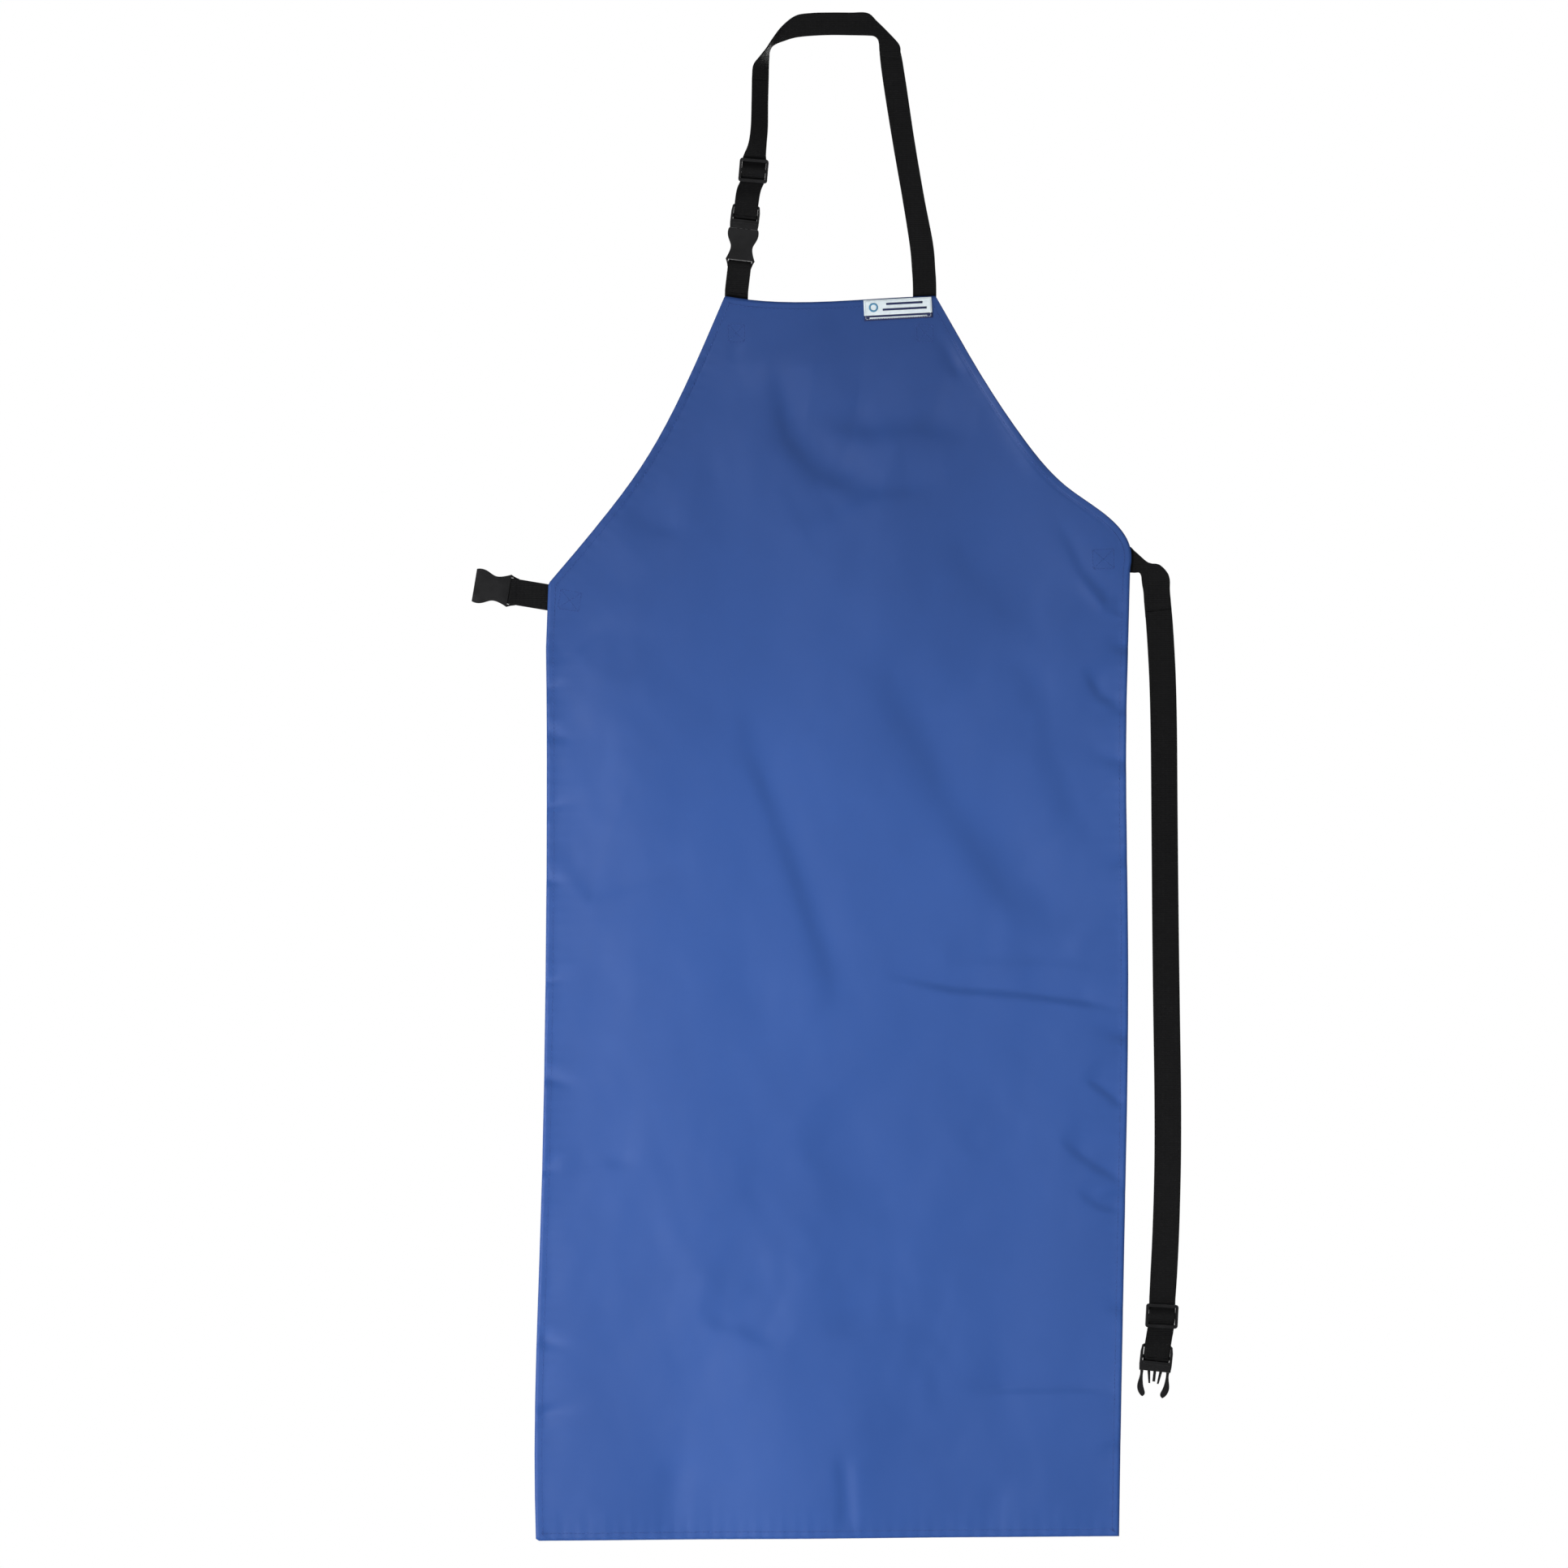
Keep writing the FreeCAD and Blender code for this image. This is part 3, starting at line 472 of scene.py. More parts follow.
def drape(x, z, distance, place):
    """How far the cloth's middle stands behind its flat plane, at each (x, z)."""
    y = np.zeros(np.shape(x))
    hang = np.clip((HANG_TOP - z) / HANG_DROP, 0, 1)
    for height, wavelength, start, lean in ACROSS:
        y += height * hang * np.sin(2 * math.pi * x / wavelength + start + lean * z)
    height, wavelength, start, lean = DOWN
    y += height * np.sin(2 * math.pi * z / wavelength + lean * x + start)
    for points, half_width, depth in FOLDS:
        d, along, _ = line_distance(x, z, points)
        taper = np.clip(np.minimum(along, 1 - along) * FOLD_TAPER, FOLD_END_SHARE, 1)
        y += depth * taper * np.exp(-(d / half_width) ** 2)
    for points, half_width, depth, recovery in STEPS:
        d, along, side = line_distance(x, z, points)
        taper = np.clip(np.minimum(along, 1 - along) * STEP_TAPER, 0, 1)
        low_side = np.exp(-np.maximum(d * side, 0) / recovery)
        high_side = np.exp(-(np.maximum(-d * side, 0) / recovery) ** 2)
        y += depth * taper * 0.5 * (1 + np.tanh(d * side / half_width)) * (low_side * high_side)
    for side, levels, edge in PUCKERED_SIDES:
        for i, level in enumerate(levels):
            reach = PUCKER_REACHES[i % 3]
            tilt = level + side * 0.3 * (x - edge) * (1 if i % 2 else -1)
            into = np.clip(np.abs(x - edge) / reach, 0, 1)
            y += PUCKER_DEPTH * (1 - into) ** 2 * np.exp(-((z - tilt) / PUCKER_HALF) ** 2)
    near = np.exp(-distance / RIPPLE_REACH)
    y += RIPPLE_DEPTH * near * np.sin(place * 2 * math.pi / RIPPLE_LENGTH + 2.0 * np.sin(place * 9.0))
    y += STITCH_LINE_DEPTH * np.exp(-((distance - HEM_W) / STITCH_LINE_HALF) ** 2)
    y -= HEM_STEP / (1 + np.exp((distance - HEM_W) / HEM_STEP_WIDTH))
    y += fine_wrinkles(x, z)
    calm = np.ones(np.shape(x))
    for ax, az in ANCHORS:
        calm *= 1 - 0.9 * np.exp(-(((x - ax) / ANCHOR_HALF_W) ** 2 + ((z - az) / ANCHOR_HALF_H) ** 2))
    calm *= np.clip((BIB_TOP - z) / HELD_REACH, HELD_SHARE, 1)
    return y * calm


# Wrinkles of three sizes, and the patches that the two finer ones keep to: cells to the metre
# across and down, the slice of the noise that is read, and the height.
BROAD = (7.0, 3.6, 0.3, 0.004)
MIDDLE = (19.0, 13.0, 4.1, 0.0021)
FINE = (52.0, 40.0, 9.7, 0.00065)
PATCHES = (5.0, 5.0, 17.0, 0.5)


def swell(x, z, kind):
    """One kind of wrinkle at one place."""
    across, down, part, height = kind
    return height * mnoise.noise(Vector((x * across, z * down, part)))


def fine_wrinkles(x, z):
    """Soft, uneven undulation of coated cloth: broad swells, then finer crumples in places."""
    total = np.empty(np.size(x))
    for i, (px, pz) in enumerate(zip(np.ravel(x), np.ravel(z))):
        patch = 0.5 + swell(px, pz, PATCHES)
        crumples = swell(px, pz, MIDDLE) + swell(px, pz, FINE)
        total[i] = swell(px, pz, BROAD) + crumples * patch
    return total.reshape(np.shape(x))


GRID_X, GRID_Z = panel_grid(ROWS, COLUMNS)
OUTLINE, RING = outline_tree(GRID_X, GRID_Z)


def cloth_y(x, z):
    """The shell's front surface at each (x, z)."""
    x = np.asarray(x, float)
    z = np.asarray(z, float)
    distance, place = edge_distance(x, z)
    return SHELL_FRONT + drape(x, z, distance, place)


GRID_Y = cloth_y(GRID_X, GRID_Z)


# ---- mesh helpers ----

def mesh_object(name, verts, faces, material):
    """A smooth-shaded object from points and faces, with its material."""
    data = bpy.data.meshes.new(name)
    data.from_pydata([tuple(v) for v in verts], [], faces)
    data.update()
    data.polygons.foreach_set("use_smooth", [True] * len(data.polygons))
    obj = bpy.data.objects.new(name, data)
    bpy.context.collection.objects.link(obj)
    data.materials.append(material)
    return obj


def closed_sheet(front, back):
    """Vertices and faces of a thin closed sheet from two grids of points."""
    rows, columns = front.shape[:2]
    verts = np.vstack([front.reshape(-1, 3), back.reshape(-1, 3)])
    index = np.arange(rows * columns).reshape(rows, columns)
    a = index[:-1, :-1].ravel()
    b = index[:-1, 1:].ravel()
    c = index[1:, 1:].ravel()
    d = index[1:, :-1].ravel()
    shift = rows * columns
    faces = np.column_stack([a, d, c, b]).tolist()
    faces += np.column_stack([a + shift, b + shift, c + shift, d + shift]).tolist()
    rim = border(index).tolist()
    for p, q in zip(rim, rim[1:] + rim[:1]):
        faces.append([p, q, q + shift, p + shift])
    return verts, faces


def tube(rings, size, base=0):
    """Faces between rings that have size points each, the first of them numbered base."""
    faces = []
    for near in range(base, base + (rings - 1) * size, size):
        for k in range(size):
            j = (k + 1) % size
            faces.append([near + k, near + j, near + size + j, near + size + k])
    return faces


def closed_tube(rings, size, base=0):
    """The same with both of its ends closed."""
    first = list(range(base, base + size))
    last = [k + (rings - 1) * size for k in first]
    return tube(rings, size, base) + [first[::-1], last]


def smooth_path(stations, step=0.0018):
    """Catmull-Rom through stations, each a flat list of numbers, sampled about every step."""
    points = np.array(stations, float)
    ends = np.vstack([2 * points[0] - points[1], points, 2 * points[-1] - points[-2]])
    out = []
    for i in range(1, len(ends) - 2):
        p0, p1, p2, p3 = ends[i - 1:i + 3]
        middle = 0.5 * (p1[:3] + p1[3:6] - p2[:3] - p2[3:6])
        count = max(2, int(np.linalg.norm(middle) / step))
        for t in np.linspace(0, 1, count, endpoint=False):
            out.append(0.5 * (2 * p1 + (p2 - p0) * t + (2 * p0 - 5 * p1 + 4 * p2 - p3) * t ** 2
                              + (3 * p1 - p0 - 3 * p2 + p3) * t ** 3))
    out.append(points[-1])
    return np.array(out)


# Half a section of webbing: share of the half width, share of the half thickness.
SECTION = [(-1.0, 0.35), (-0.97, 0.8), (-0.9, 1.0), (-0.8, 0.9), (-0.55, 0.94), (-0.28, 0.9), (0.0, 0.95),
           (0.28, 0.9), (0.55, 0.94), (0.8, 0.9), (0.9, 1.0), (0.97, 0.8), (1.0, 0.35)]


def webbing(name, stations, thickness=WEB_T, smooth=True):
    """Webbing whose two edges pass through stations (x, y, z of one edge, then of the other)."""
    line = smooth_path(stations) if smooth else np.array(stations)
    left = line[:, :3]
    right = line[:, 3:6]
    middle = 0.5 * (left + right)
    across = 0.5 * (right - left)
    tangent = np.gradient(middle, axis=0)
    normal = np.cross(across, tangent)
    normal /= np.linalg.norm(normal, axis=1)[:, None]
    verts = []
    profile = SECTION + [(u, -v) for u, v in reversed(SECTION)]
    for m, a, n in zip(middle, across, normal):
        for u, v in profile:
            verts.append(m + a * u + n * (0.5 * thickness * v))
    return mesh_object(name, verts, closed_tube(len(middle), len(profile)), MATERIALS["webbing"])


def station(y, z, x, half, lean_deg=0.0, turn_deg=0.0):
    """The two edges of webbing that runs down, from its middle, half width, lean and turn."""
    lean = math.radians(lean_deg)
    turn = math.radians(turn_deg)
    ax = half * math.cos(lean) * math.cos(turn)
    az = -half * math.sin(lean)
    ay = half * math.sin(turn)
    return [x - ax, y - ay, z - az, x + ax, y + ay, z + az]


STITCH_RINGS = [(-0.5, 0.25), (-0.34, 0.9), (0.34, 0.9), (0.5, 0.25)]
STITCH_SIDES = 6


def stitch_mesh(name, places, material, length=0.0028, radius=0.00034):
    """Small rounded stitches: each place is (x, y, z, direction in XZ)."""
    verts = []
    faces = []
    for x, y, z, angle in places:
        faces += closed_tube(len(STITCH_RINGS), STITCH_SIDES, len(verts))
        dx = math.cos(angle)
        dz = math.sin(angle)
        for s, r in STITCH_RINGS:
            for k in range(STITCH_SIDES):
                phi = 2 * math.pi * k / STITCH_SIDES
                side = radius * r * math.cos(phi)
                out = radius * r * math.sin(phi)
                verts.append((x + s * length * dx - side * dz, y - out, z + s * length * dz + side * dx))
    return mesh_object(name, verts, faces, material)


# ---- the pieces ----

# The long strap's control points, tab to plug's bar: (x, z), and the depth y of each.
WAIST_ROUTE = [(0.3414, -0.6), (0.343, -0.615), (0.347, -0.69), (0.348, -0.82), (0.3495, -0.98),
               (0.352, -1.14), (0.35, -1.24), (0.3462, -1.312), (0.3457, -1.318), (0.3457, -1.3262),
               (0.3452, -1.3365), (0.3445, -1.347), (0.3424, -1.358), (0.3407, -1.368), (0.3393, -1.38)]
WAIST_DEPTH = [0.0002, 0.0002, -0.0018, 0.0016, 0.0022, -0.0012, 0.0012, 0.0016, 0.0022, 0.004,
               -0.0052, 0.004, 0.0004, -0.003, -0.0028]
WAIST_TOP = -0.6
TURN_MOST = 9               # degrees of slow turn to and fro as the strap hangs
TURN_RATE = 7.5
TURN_END = -1.3             # just above the slide, where the turn passes through nothing
EASE = 12                   # how fast the turn comes in and goes out, per metre
SLIDE_TOP = -1.322
DRAW_IN = 0.03              # the strap narrows over this height, down to the slide
THREADED_W = 0.0274
WAIST_HALF = 0.0136         # half the waist webbing's width where it loops on a bar


def nurbs_points(points):
    """Points along the smooth spline that has these control points."""
    data = bpy.data.curves.new("route", "CURVE")
    data.dimensions = "3D"
    data.resolution_u = 24
    spline = data.splines.new("NURBS")
    spline.points.add(len(points) - 1)
    for target, (x, y, z) in zip(spline.points, points):
        target.co = (x, y, z, 1)
    spline.order_u = 3
    spline.use_endpoint_u = True
    holder = bpy.data.objects.new("route", data)
    bpy.context.collection.objects.link(holder)
    bpy.context.view_layer.update()
    mesh = bpy.data.meshes.new_from_object(holder)
    path = np.array([v.co[:] for v in mesh.vertices])
    bpy.data.objects.remove(holder)
    bpy.data.meshes.remove(mesh)
    return path


def waist_cord():
    """The long waist strap, a flat cord that hangs from its tab to the plug's bar."""
    points = [(x, y, z) for (x, z), y in zip(WAIST_ROUTE, WAIST_DEPTH)]
    path = nurbs_points(points)
    tangent = np.gradient(path, axis=0)
    edges = []
    for p, t in zip(path, tangent):
        down = WAIST_TOP - p[2]
        turn = TURN_MOST * math.sin(down * TURN_RATE) * min(1, EASE * down, EASE * (p[2] - TURN_END))
        spread = min(1, max(0, (p[2] - SLIDE_TOP) / DRAW_IN))
        half = 0.5 * (THREADED_W + (WAIST_W - THREADED_W) * spread)
        lean = math.degrees(math.atan2(-t[0], -t[2]))
        edges.append(station(p[1], p[2], p[0], half, lean, turn))
    strap = webbing("waist_strap_web", edges, smooth=False)
    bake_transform(strap)
    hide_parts("waist_strap_run")
    back = waist_return()


def waist_return():
    """The webbing's end, back up from the plug's bar to the slide's centre bar."""
    rows = [(-0.0026, -1.38, 0.3394, 6), (-0.0022, -1.3822, 0.3391, 6), (0.0, -1.3832, 0.339, 6),
            (0.0022, -1.3822, 0.3391, 6), (0.0027, -1.379, 0.3396, 6), (0.0027, -1.364, 0.3414, 6),
            (0.0034, -1.354, 0.3434, 5), (0.0044, -1.347, 0.3446, 3), (0.0036, -1.342, 0.3449, 3),
            (0.0026, -1.3365, 0.3452, 3), (0.002, -1.3335, 0.3454, 3), (0.0008, -1.3328, 0.3454, 3)]
    stations = [station(y, z, x, WAIST_HALF, lean) for y, z, x, lean in rows]
    back = webbing("waist_return_web", stations)
    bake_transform(back)
    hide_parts("waist_strap_doubled", "waist_end_loop")
    return back


def waist_tab():
    """Sewn end, tab and rolled turn at the right side, down to where the strap hangs free."""
    stations = [
        [0.262, 0.0, -0.5335, 0.261, 0.0, -0.561],
        [0.286, 0.0, -0.5325, 0.285, 0.0, -0.5605],
        [0.3085, 0.0, -0.532, 0.308, 0.0, -0.5605],
        [0.318, -0.001, -0.539, 0.3165, 0.0005, -0.5608],
        [0.331, -0.0016, -0.55, 0.3215, 0.0012, -0.5607],
        [0.342, -0.0034, -0.552, 0.3235, 0.0006, -0.564],
        [0.3505, -0.0036, -0.56, 0.324, 0.0, -0.5685],
        [0.3535, -0.0014, -0.568, 0.3246, 0.0002, -0.5735],
        [0.3536, 0.0, -0.578, 0.3258, 0.0002, -0.5805],
        [0.3545, 0.0003, -0.589, 0.3266, 0.0002, -0.5915],
        [0.3554, 0.0012, -0.5985, 0.3275, 0.0011, -0.6016],
        [0.3558, 0.002, -0.604, 0.3279, 0.0019, -0.607]]
    tab = webbing("waist_tab_web", stations)
    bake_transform(tab)
    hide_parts("waist_strap_tab", "waist_strap_top", "waist_right_end")


def waist_short():
    """Short strap at the left: sewn end, single visible run, and the loop on the socket's bar."""
    seam = Vector((-0.301, 0, -0.5855))
    rise = math.radians(9.5)
    out = Vector((-math.cos(rise), 0, math.sin(rise)))
    up = Vector((math.sin(rise), 0, math.cos(rise)))
    bar = 0.0338
    path = [(-0.048, 0.0), (-0.02, 0.0), (0.0, 0.0), (0.014, -0.0004), (bar - 0.008, -0.0012),
            (bar - 0.003, -0.0026), (bar + 0.003, -0.0028), (bar + 0.0064, -0.0016), (bar + 0.0072, 0.0),
            (bar + 0.0064, 0.0016), (bar + 0.003, 0.0028), (bar - 0.003, 0.0026), (bar - 0.009, 0.0014),
            (0.01, 0.0014), (0.003, 0.0014)]
    stations = []
    for reach, depth in path:
        p = seam + out * reach
        upper = p + up * WAIST_HALF
        lower = p - up * WAIST_HALF
        stations.append([upper.x, depth, upper.z, lower.x, depth, lower.z])
    strap = webbing("waist_short_web", stations, LOOPED_T)
    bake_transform(strap)
    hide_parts("waist_short_strap", "waist_left_end")


def neck_right():
    """Right leg of the neck loop with its sewn end behind the bib."""
    half = 0.5 * NECK_W
    rows = [(0.0016, -0.009, 0.059, 0.008, -8), (0.0015, -0.018, 0.0615, 0.011, -8),
            (0.0002, -0.05, 0.0663, 0.0118, -8), (-0.001, -0.11, 0.0755, 0.0115, -8),
            (-0.0012, -0.17, 0.0858, 0.0114, -8), (0.0004, -0.218, 0.0942, half, -6),
            (0.0004, -0.245, 0.0966, half, -2), (0, -0.262, 0.0975, half), (0, -0.285, 0.0975, half),
            (0, -0.324, 0.0975, half)]
    strap = webbing("neck_right_web", [station(*row) for row in rows])
    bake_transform(strap)
    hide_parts("neck_leg_right")


def neck_top():
    """Top band with its mitred fold at the right and its twist down to the left."""
    stations = [
        [0.0509, 0.0002, -0.0215, 0.0733, 0.0002, -0.024],
        [0.0502, 0, -0.015, 0.0726, 0, -0.018],
        [0.0498, 0.0004, -0.0085, 0.0712, 0.0004, -0.0095],
        [0.0485, 0.0004, -0.004, 0.061, 0.0012, 0.0022],
        [0.045, 0, -0.001, 0.048, 0.0004, 0.015],
        [0.039, 0, -0.0002, 0.038, 0, 0.0236],
        [0.02, 0, 0.0002, 0.02, 0, 0.024],
        [0, 0, 0.0004, 0, 0, 0.0241],
        [-0.02, 0, -0.0004, -0.02, 0, 0.0236],
        [-0.037, 0.001, -0.0022, -0.037, -0.0006, 0.0208],
        [-0.05, 0.004, -0.0058, -0.051, -0.0022, 0.01],
        [-0.06, 0.0085, -0.0095, -0.0605, -0.005, -0.003],
        [-0.064, 0.0108, -0.015, -0.0672, -0.008, -0.0135],
        [-0.0648, 0.0098, -0.0235, -0.0745, -0.0084, -0.0225],
        [-0.065, 0.0084, -0.033, -0.0812, -0.0076, -0.0315],
        [-0.0652, 0.0078, -0.046, -0.0826, -0.0072, -0.046]]
    band = webbing("neck_band_web", stations)
    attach(band, "neck_loop")
    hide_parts("neck_band", "neck_corner_fold", "neck_turn_left")


NECK_HALF = 0.01245         # half the neck webbing's width where it fills the slide


def neck_left():
    """Left leg: down through the slide to the plug's bar."""
    twisted = [
        [-0.0826, -0.0072, -0.046, -0.0652, 0.0078, -0.046],
        [-0.083, -0.007, -0.07, -0.0658, 0.0074, -0.07],
        [-0.0838, -0.0056, -0.095, -0.066, 0.0066, -0.095],
        [-0.0862, -0.002, -0.112, -0.0672, 0.005, -0.112]]
    rows = [(0.0026, -0.1285, -0.0799, 5), (0.0025, -0.132, -0.0802, 5), (0.0002, -0.1355, -0.0805, 5),
            (-0.0024, -0.1388, -0.0808, 5), (-0.0025, -0.1425, -0.0811, 5), (-0.0002, -0.1462, -0.0815, 5),
            (0.0024, -0.1498, -0.0818, 5), (0.0025, -0.153, -0.0824, 5.5), (0.0006, -0.16, -0.0855, 7),
            (-0.0024, -0.169, -0.0874, 6.6), (-0.0025, -0.186, -0.0893, 6.6),
            (-0.0018, -0.1892, -0.0897, 6.6)]
    stations = twisted + [station(0.0024, -0.124, -0.0793, 0.0114, 5, 4)]
    stations += [station(y, z, x, NECK_HALF, lean) for y, z, x, lean in rows]
    strap = webbing("neck_left_web", stations, THREADED_T)
    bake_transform(strap)
    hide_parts("neck_leg_left")


def neck_return():
    """The webbing's end, back up from the plug's bar to the slide's centre bar."""
    rows = [(-0.0025, -0.188, -0.0896, 6.6), (-0.0018, -0.191, -0.0899, 6.6), (0, -0.1919, -0.09, 6.6),
            (0.0019, -0.1908, -0.0899, 6.6), (0.0024, -0.187, -0.0895, 6.6), (0.0025, -0.17, -0.0875, 6.6),
            (0.0032, -0.16, -0.0855, 7), (0.0043, -0.152, -0.0822, 5.5), (0.0036, -0.1465, -0.0817, 5),
            (0.0026, -0.141, -0.081, 5), (0.002, -0.1382, -0.0808, 5), (0.0008, -0.1374, -0.0807, 5)]
    stations = [station(y, z, x, NECK_HALF, lean) for y, z, x, lean in rows]
    back = webbing("neck_return_web", stations, THREADED_T)
    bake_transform(back)
    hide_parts("neck_strap_doubled", "neck_end_loop")


def neck_short():
    """Short neck strap: looped on the socket's bar and sewn behind the bib."""
    lean_deg = 6.6
    lean = math.radians(lean_deg)
    mouth = Vector((-0.0912, 0, -0.202))
    down = Vector((-math.sin(lean), 0, -math.cos(lean)))
    half = 0.0122
    path = [(-0.0013, 0.0668), (-0.0013, 0.052), (-0.0026, 0.0425), (-0.0026, 0.037), (-0.0014, 0.0343),
            (0, 0.0336), (0.0014, 0.0343), (0.0026, 0.037), (0.0026, 0.0425), (0.001, 0.052),
            (0.0004, 0.064)]
    stations = []
    for y, reach in path:
        p = mouth + down * reach
        stations.append(station(y, p.z, p.x, half, lean_deg))
    stations += [station(0, -0.28, -0.099, half, 2)]
    stations += [station(0, z, -0.099, half) for z in (-0.3, -0.324)]
    strap = webbing("neck_short_web", stations, LOOPED_T)
    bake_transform(strap)
    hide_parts("neck_short_strap", "neck_strap_ends")


LAYER_GAP = 0.0001          # air between the shell and its lining
HEM_GAP = 0.00012           # all the air there is in front of the hem


def every_second(grid):
    """Every second row and column of a grid, and always its last ones."""
    rows = sorted({*range(0, grid.shape[0], 2), grid.shape[0] - 1})
    columns = sorted({*range(0, grid.shape[1], 2), grid.shape[1] - 1})
    return grid[np.ix_(rows, columns)]


def make_cloth():
    """Shell and lining as thin closed sheets that drape together, and the turned hem."""
    shell_t = SHELL_BACK - SHELL_FRONT
    lining_t = LINING_BACK - SHELL_BACK
    grid = np.dstack([GRID_X, GRID_Y, GRID_Z])
    verts, faces = closed_sheet(grid, grid + [0, shell_t, 0])
    shell = mesh_object("apron_shell", verts, faces, MATERIALS["shell"])
    coarse = every_second(grid)
    slack = np.array([0, shell_t + LAYER_GAP, 0])
    verts, faces = closed_sheet(coarse + slack, coarse + slack + [0, lining_t, 0])
    lining = mesh_object("apron_lining", verts, faces, MATERIALS["lining"])
    hem = make_hem(shell_t + lining_t)
    for piece, slot in ((shell, "shell_fabric"), (lining, "lining_fabric"), (hem, "shell_fabric")):
        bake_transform(piece)
    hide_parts("bib_shell", "skirt_shell")
    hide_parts("bib_lining", "skirt_lining")
    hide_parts("bib_top_hem", "armhole_hems", "bib_side_hems", "skirt_side_hems", "skirt_bottom_hem")


def ring_frame(step):
    """Points with even steps round the outline, the way inwards from each, and the way along."""
    points = resample(RING, step)
    ahead = np.roll(points, -2, axis=0) - np.roll(points, 2, axis=0)
    ahead /= np.hypot(ahead[:, 0], ahead[:, 1])[:, None]
    inward = np.column_stack([ahead[:, 1], -ahead[:, 0]])
    return points, inward, ahead


def make_hem(depth):
    """The turned hem behind the lining, all round, following the drape."""
    points, inward, _ = ring_frame(0.003)
    levels = [(0.0004, 0.0), (0.0002, 0.0008), (0.003, 0.0011), (0.0076, 0.001),
              (HEM_W, 0.0006), (HEM_W, 0.0)]
    verts = []
    for offset, lift in levels:
        place = points + inward * offset
        y = cloth_y(place[:, 0], place[:, 1]) + depth + HEM_GAP + lift
        verts.append(np.column_stack([place[:, 0], y, place[:, 1]]))
    total = len(levels) * len(points)
    faces = [[v % total for v in face] for face in tube(len(levels) + 1, len(points))]
    return mesh_object("apron_hem", np.vstack(verts), faces, MATERIALS["shell"])


def make_topstitching():
    """One row of stitches round the apron's front, just inside the hem's edge."""
    points, inward, ahead = ring_frame(0.0042)
    line = points + inward * (HEM_W - 0.0006)
    y = cloth_y(line[:, 0], line[:, 1])
    angles = np.arctan2(ahead[:, 1], ahead[:, 0])
    front = [(px, py - 0.0003, pz, a) for (px, pz), py, a in zip(line, y, angles)]
    stitches = stitch_mesh("hem_topstitching", front, MATERIALS["blue_thread"])
    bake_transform(stitches)


BOX_PITCH = 0.003
LABEL_PITCH = 0.0026
ON_CLOTH = 0.00012          # a stitch's middle stands this far off the shell
ON_WEBBING = 0.00005        # and this far off the webbing


def turned(centre, lean, lx, lz):
    """World x and z of a place measured from a centre on something that leans."""
    x = centre[0] + lx * math.cos(lean) + lz * math.sin(lean)
    z = centre[1] - lx * math.sin(lean) + lz * math.cos(lean)
    return x, z


def rectangle(left, right, low, high):
    """The four strokes round a rectangle."""
    corners = [(left, low), (right, low), (right, high), (left, high)]
    return list(zip(corners, corners[1:] + corners[:1]))


def along_strokes(strokes, pitch, centre, lean, depth_of):
    """Evenly spaced stitches on straight strokes that are drawn about a centre and lean."""
    places = []
    for (ax, az), (bx, bz) in strokes:
        count = int(math.hypot(bx - ax, bz - az) / pitch)
        for i in range(count):
            t = (i + 0.5) / count
            x, z = turned(centre, lean, ax + (bx - ax) * t, az + (bz - az) * t)
            places.append((x, depth_of(x, z), z, math.atan2(bz - az, bx - ax) - lean))
    return places


def box_of_stitches(centre, width, height, lean_deg, depth_of):
    """Places of the stitches in one sewn box with its cross."""
    strokes = rectangle(-width / 2, width / 2, -height / 2, height / 2)
    strokes += [(strokes[0][0], strokes[2][0]), (strokes[1][0], strokes[3][0])]
    return along_strokes(strokes, BOX_PITCH, centre, math.radians(lean_deg), depth_of)


def on_cloth(x, z):
    """Depth of a stitch that lies on the shell's front."""
    return float(cloth_y([x], [z])[0]) - ON_CLOTH


def on_webbing(x, z):
    """Depth of a stitch that lies on the back of the webbing."""
    return 0.5 * WEB_T + ON_WEBBING


def make_box_stitching():
    """Box-and-cross stitching through the four sewn webbing ends, seen on both faces."""
    spots = {"neck": [(-0.099, -0.311, 0.017, 0.018, 0), (0.0975, -0.311, 0.017, 0.018, 0)],
             "waist": [(-0.273, -0.59, 0.022, 0.02, 9.5), (0.284, -0.5466, 0.022, 0.02, -2)]}
    for key, boxes in spots.items():
        front = []
        back = []
        for x, z, width, height, lean in boxes:
            front += box_of_stitches((x, z), width, height, lean, on_cloth)
            back += box_of_stitches((x, z), width, height, lean, on_webbing)
        stitches = stitch_mesh(key + "_box_stitching", front + back, MATERIALS["blue_thread"], 0.0024)
        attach(stitches, "bib")
        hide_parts(key + "_end_stitching")


LABEL_LEAN = math.radians(-3.0)
LABEL_CENTRE = (0.0695, -0.2816)
LABEL_W = 0.071
LABEL_FOOT, LABEL_SEAM, LABEL_HEAD = -0.0148, -0.0094, 0.0069
LABEL_REST = 0.0075         # the cloth's depth is read no nearer than this to the bib's top
LABEL_STAND = 0.001         # how far the label's face stands off the cloth
LABEL_T = 0.0008
WOVEN_STAND = 0.00125       # and the woven ring, bars and stitches
WOVEN_T = 0.0003


def label_front(x, z):
    """Depth of the cloth under the label, read just inside the bib's top edge."""
    return cloth_y(x, np.minimum(z, BIB_TOP - LABEL_REST))


def on_label(x, z):
    """Depth of a stitch that lies on the label."""
    return float(label_front([x], [z])[0]) - WOVEN_STAND


def label_piece(name, lx, lz, stand, thickness, material, slot, node=None):
    """A thin closed piece of label cloth over a grid of label places."""
    x, z = turned(LABEL_CENTRE, LABEL_LEAN, lx, lz)
    y = label_front(x, z) - stand
    front = np.dstack([x, y, z])
    back = np.dstack([x, y + thickness, z])
    piece = mesh_object(name, *closed_sheet(front, back), material)
    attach(piece, "bib")
    if node:
        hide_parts(node)


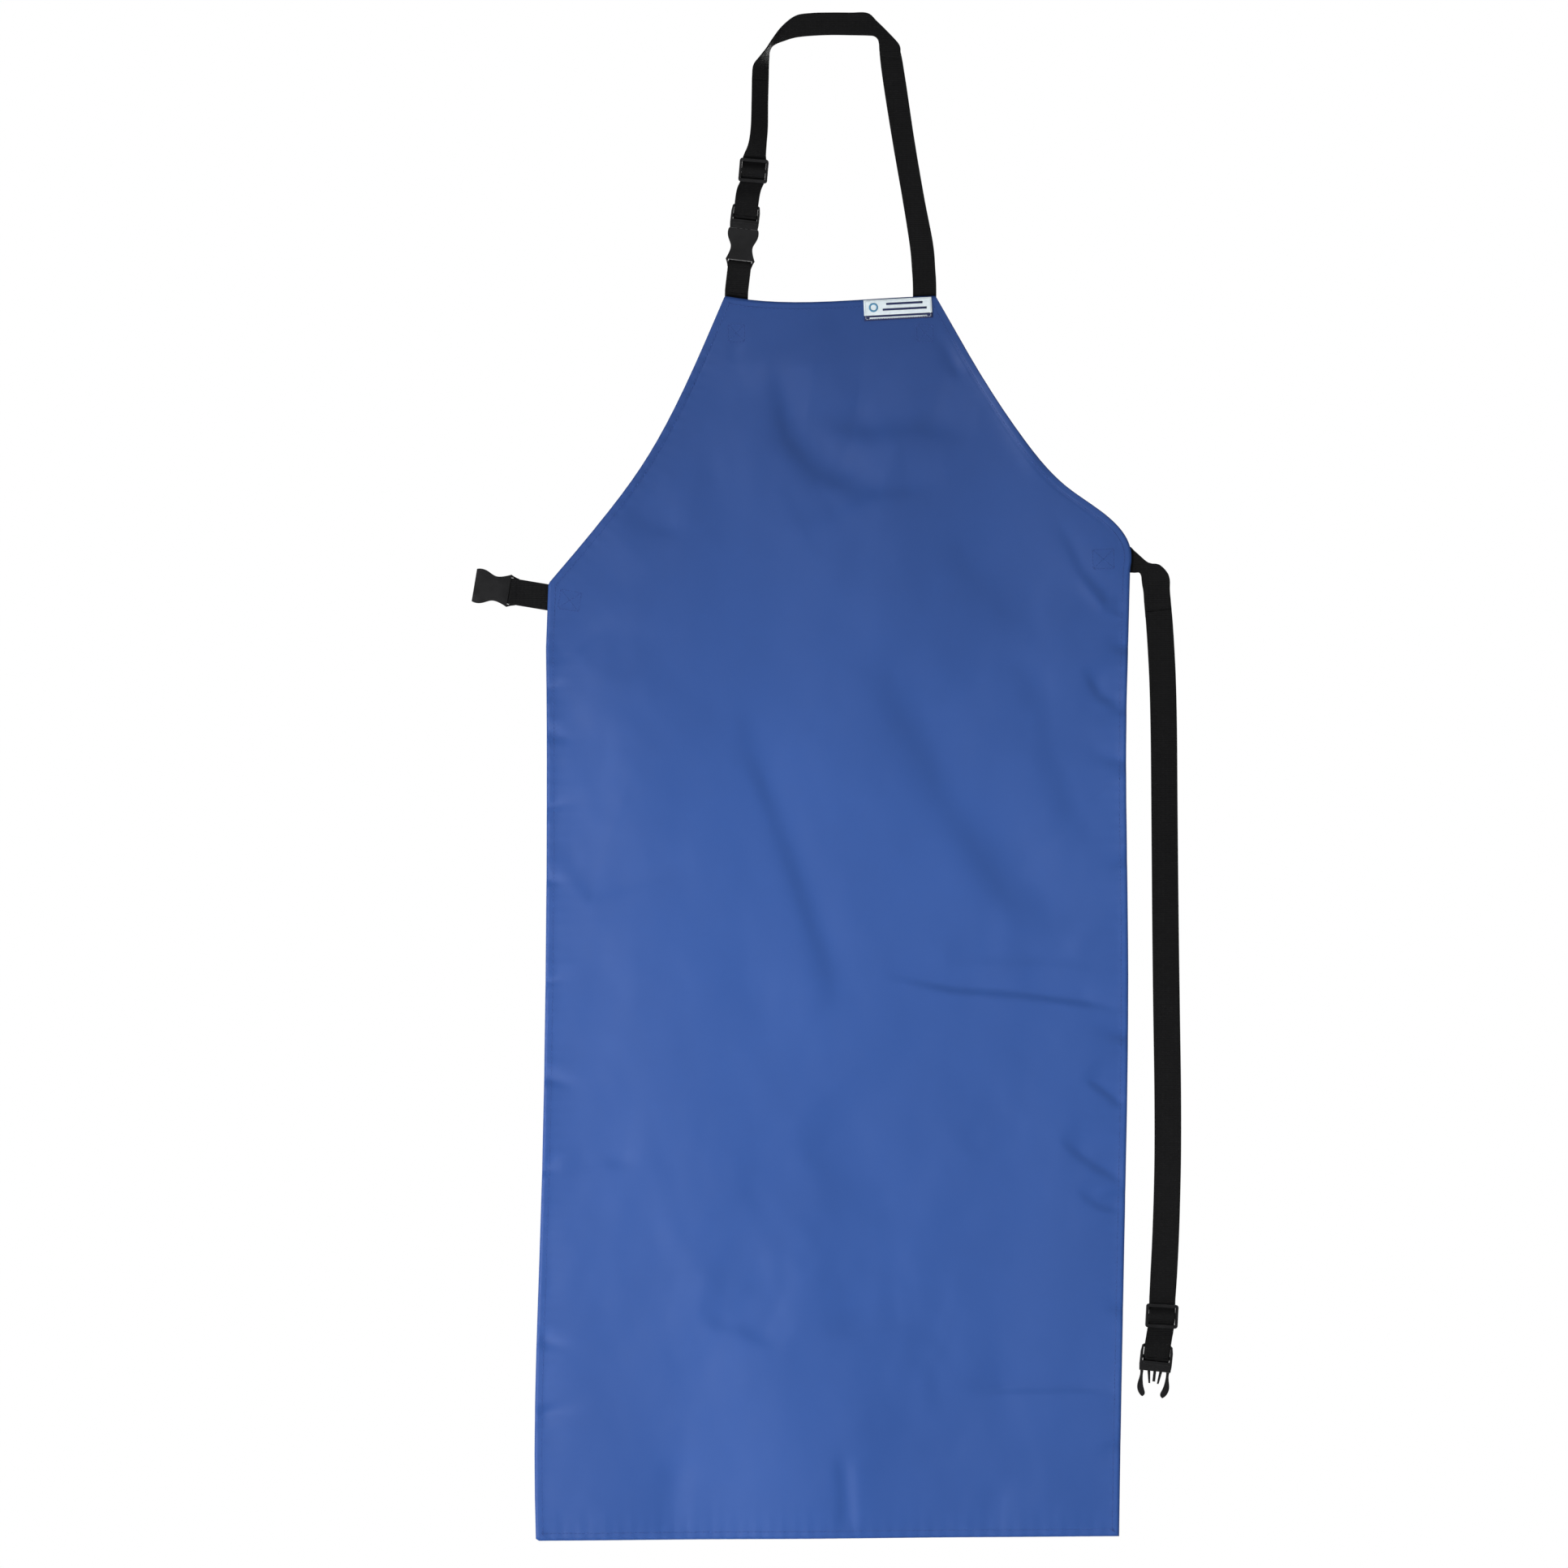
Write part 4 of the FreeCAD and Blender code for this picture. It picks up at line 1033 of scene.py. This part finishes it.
def bar_grid(left, right, level, half_h):
    """Label places of a flat woven bar."""
    return np.meshgrid(np.linspace(left, right, 8), np.linspace(level + half_h, level - half_h, 2))


def make_label():
    """Blank woven label: grey cloth over a navy band, a plain ring and plain bars woven in."""
    across = np.linspace(-LABEL_W / 2, LABEL_W / 2, 60)
    grey = np.meshgrid(across, np.linspace(LABEL_HEAD, LABEL_SEAM, 14))
    label_piece("label_cloth", *grey, LABEL_STAND, LABEL_T, MATERIALS["label"], "label_cloth", "label_patch")
    navy = np.meshgrid(across, np.linspace(LABEL_SEAM - 0.0001, LABEL_FOOT, 6))
    label_piece("label_navy_band", *navy, LABEL_STAND, LABEL_T, MATERIALS["navy"], "label_band_cloth",
                "label_band")
    for i, (left, right, level) in enumerate(((-0.012, 0.026, 0.0018), (-0.016, 0.03, -0.004))):
        bar = bar_grid(left, right, level, 0.0011)
        name = "label_woven_bar_%d" % i
        label_piece(name, *bar, WOVEN_STAND, WOVEN_T, MATERIALS["navy"], "label_band_cloth")
    dash = bar_grid(-0.03, 0.03, -0.0121, 0.0006)
    label_piece("label_woven_line", *dash, WOVEN_STAND, WOVEN_T, MATERIALS["label"], "label_cloth")
    turn = np.linspace(0, 2 * math.pi, 40)
    radius, angle = np.meshgrid([0.003, 0.0048], turn)
    ring = (-0.0255 + radius * np.cos(angle), -0.0012 + radius * np.sin(angle))
    label_piece("label_woven_ring", *ring, WOVEN_STAND, WOVEN_T, MATERIALS["ring"], "label_thread")
    seam = 0.0016
    side = LABEL_W / 2 - seam
    strokes = rectangle(-side, side, LABEL_FOOT + seam, LABEL_HEAD - seam)
    places = along_strokes(strokes, LABEL_PITCH, LABEL_CENTRE, LABEL_LEAN, on_label)
    stitches = stitch_mesh("label_edge_stitching", places, MATERIALS["label_thread"], 0.0019, 0.00022)
    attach(stitches, "bib")
    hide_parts("label_stitching")


def finish_hardware():
    """The moulded buckles and slides keep their CAD shape and get the plastic."""
    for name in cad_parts:
        if "buckle" in name or "latch_arm" in name or "tri_glide" in name:
            data = bpy.data.objects[name].data
            data.materials.clear()
            data.materials.append(MATERIALS["plastic"])


# ---- stage ----

def area_light(name, location, target, size, power):
    """A square soft light turned towards a place."""
    data = bpy.data.lights.new(name, "AREA")
    data.energy = power
    data.size = size
    light = bpy.data.objects.new(name, data)
    bpy.context.collection.objects.link(light)
    light.location = location
    aim = Vector(target) - Vector(location)
    light.rotation_euler = aim.to_track_quat("-Z", "Y").to_euler()


def make_stage():
    """Pale floor below the hem, white surroundings and three soft lights."""
    size = 2.2
    z = HEM_BOTTOM - 0.3
    verts = [(-size, -size, z), (size, -size, z), (size, size, z), (-size, size, z)]
    floor = mesh_object("floor", verts, [[0, 1, 2, 3]], floor_material())
    world = bpy.data.worlds.new("studio")
    world.use_nodes = True
    world.node_tree.nodes["Background"].inputs["Color"].default_value = (1.0, 1.0, 1.0, 1)
    world.node_tree.nodes["Background"].inputs["Strength"].default_value = 1.0
    bpy.context.scene.world = world
    bpy.context.scene.view_settings.view_transform = "Standard"
    area_light("key", (-1.75, -1.9, -1.5), (0, 0, -1.0), 0.7, 180)
    area_light("fill", (1.2, -3.4, 0.6), (0, 0, -0.9), 1.6, 60)
    area_light("rear", (1.8, 3.0, 0.8), (0, 0, -0.8), 2.0, 260)


MATERIALS = {
    "shell": shell_material(),
    "lining": lining_material(),
    "webbing": webbing_material(),
    "plastic": plastic_material(),
    "label": label_material("label_grey", (0.235, 0.265, 0.28), (0.275, 0.305, 0.32)),
    "navy": label_material("label_navy", (0.003, 0.005, 0.026), (0.005, 0.008, 0.036)),
    "ring": thread_material("ring_thread", (0.02, 0.075, 0.13), (0.03, 0.1, 0.165)),
    "blue_thread": thread_material("blue_thread", (0.009, 0.022, 0.085), (0.014, 0.034, 0.125)),
    "label_thread": thread_material("label_thread", (0.2, 0.23, 0.25), (0.27, 0.3, 0.32)),
}


make_camera()
waist_cord()
waist_tab()
waist_short()
neck_right()
neck_top()
neck_left()
neck_return()
neck_short()
make_cloth()
make_topstitching()
make_box_stitching()
make_label()
finish_hardware()
make_stage()
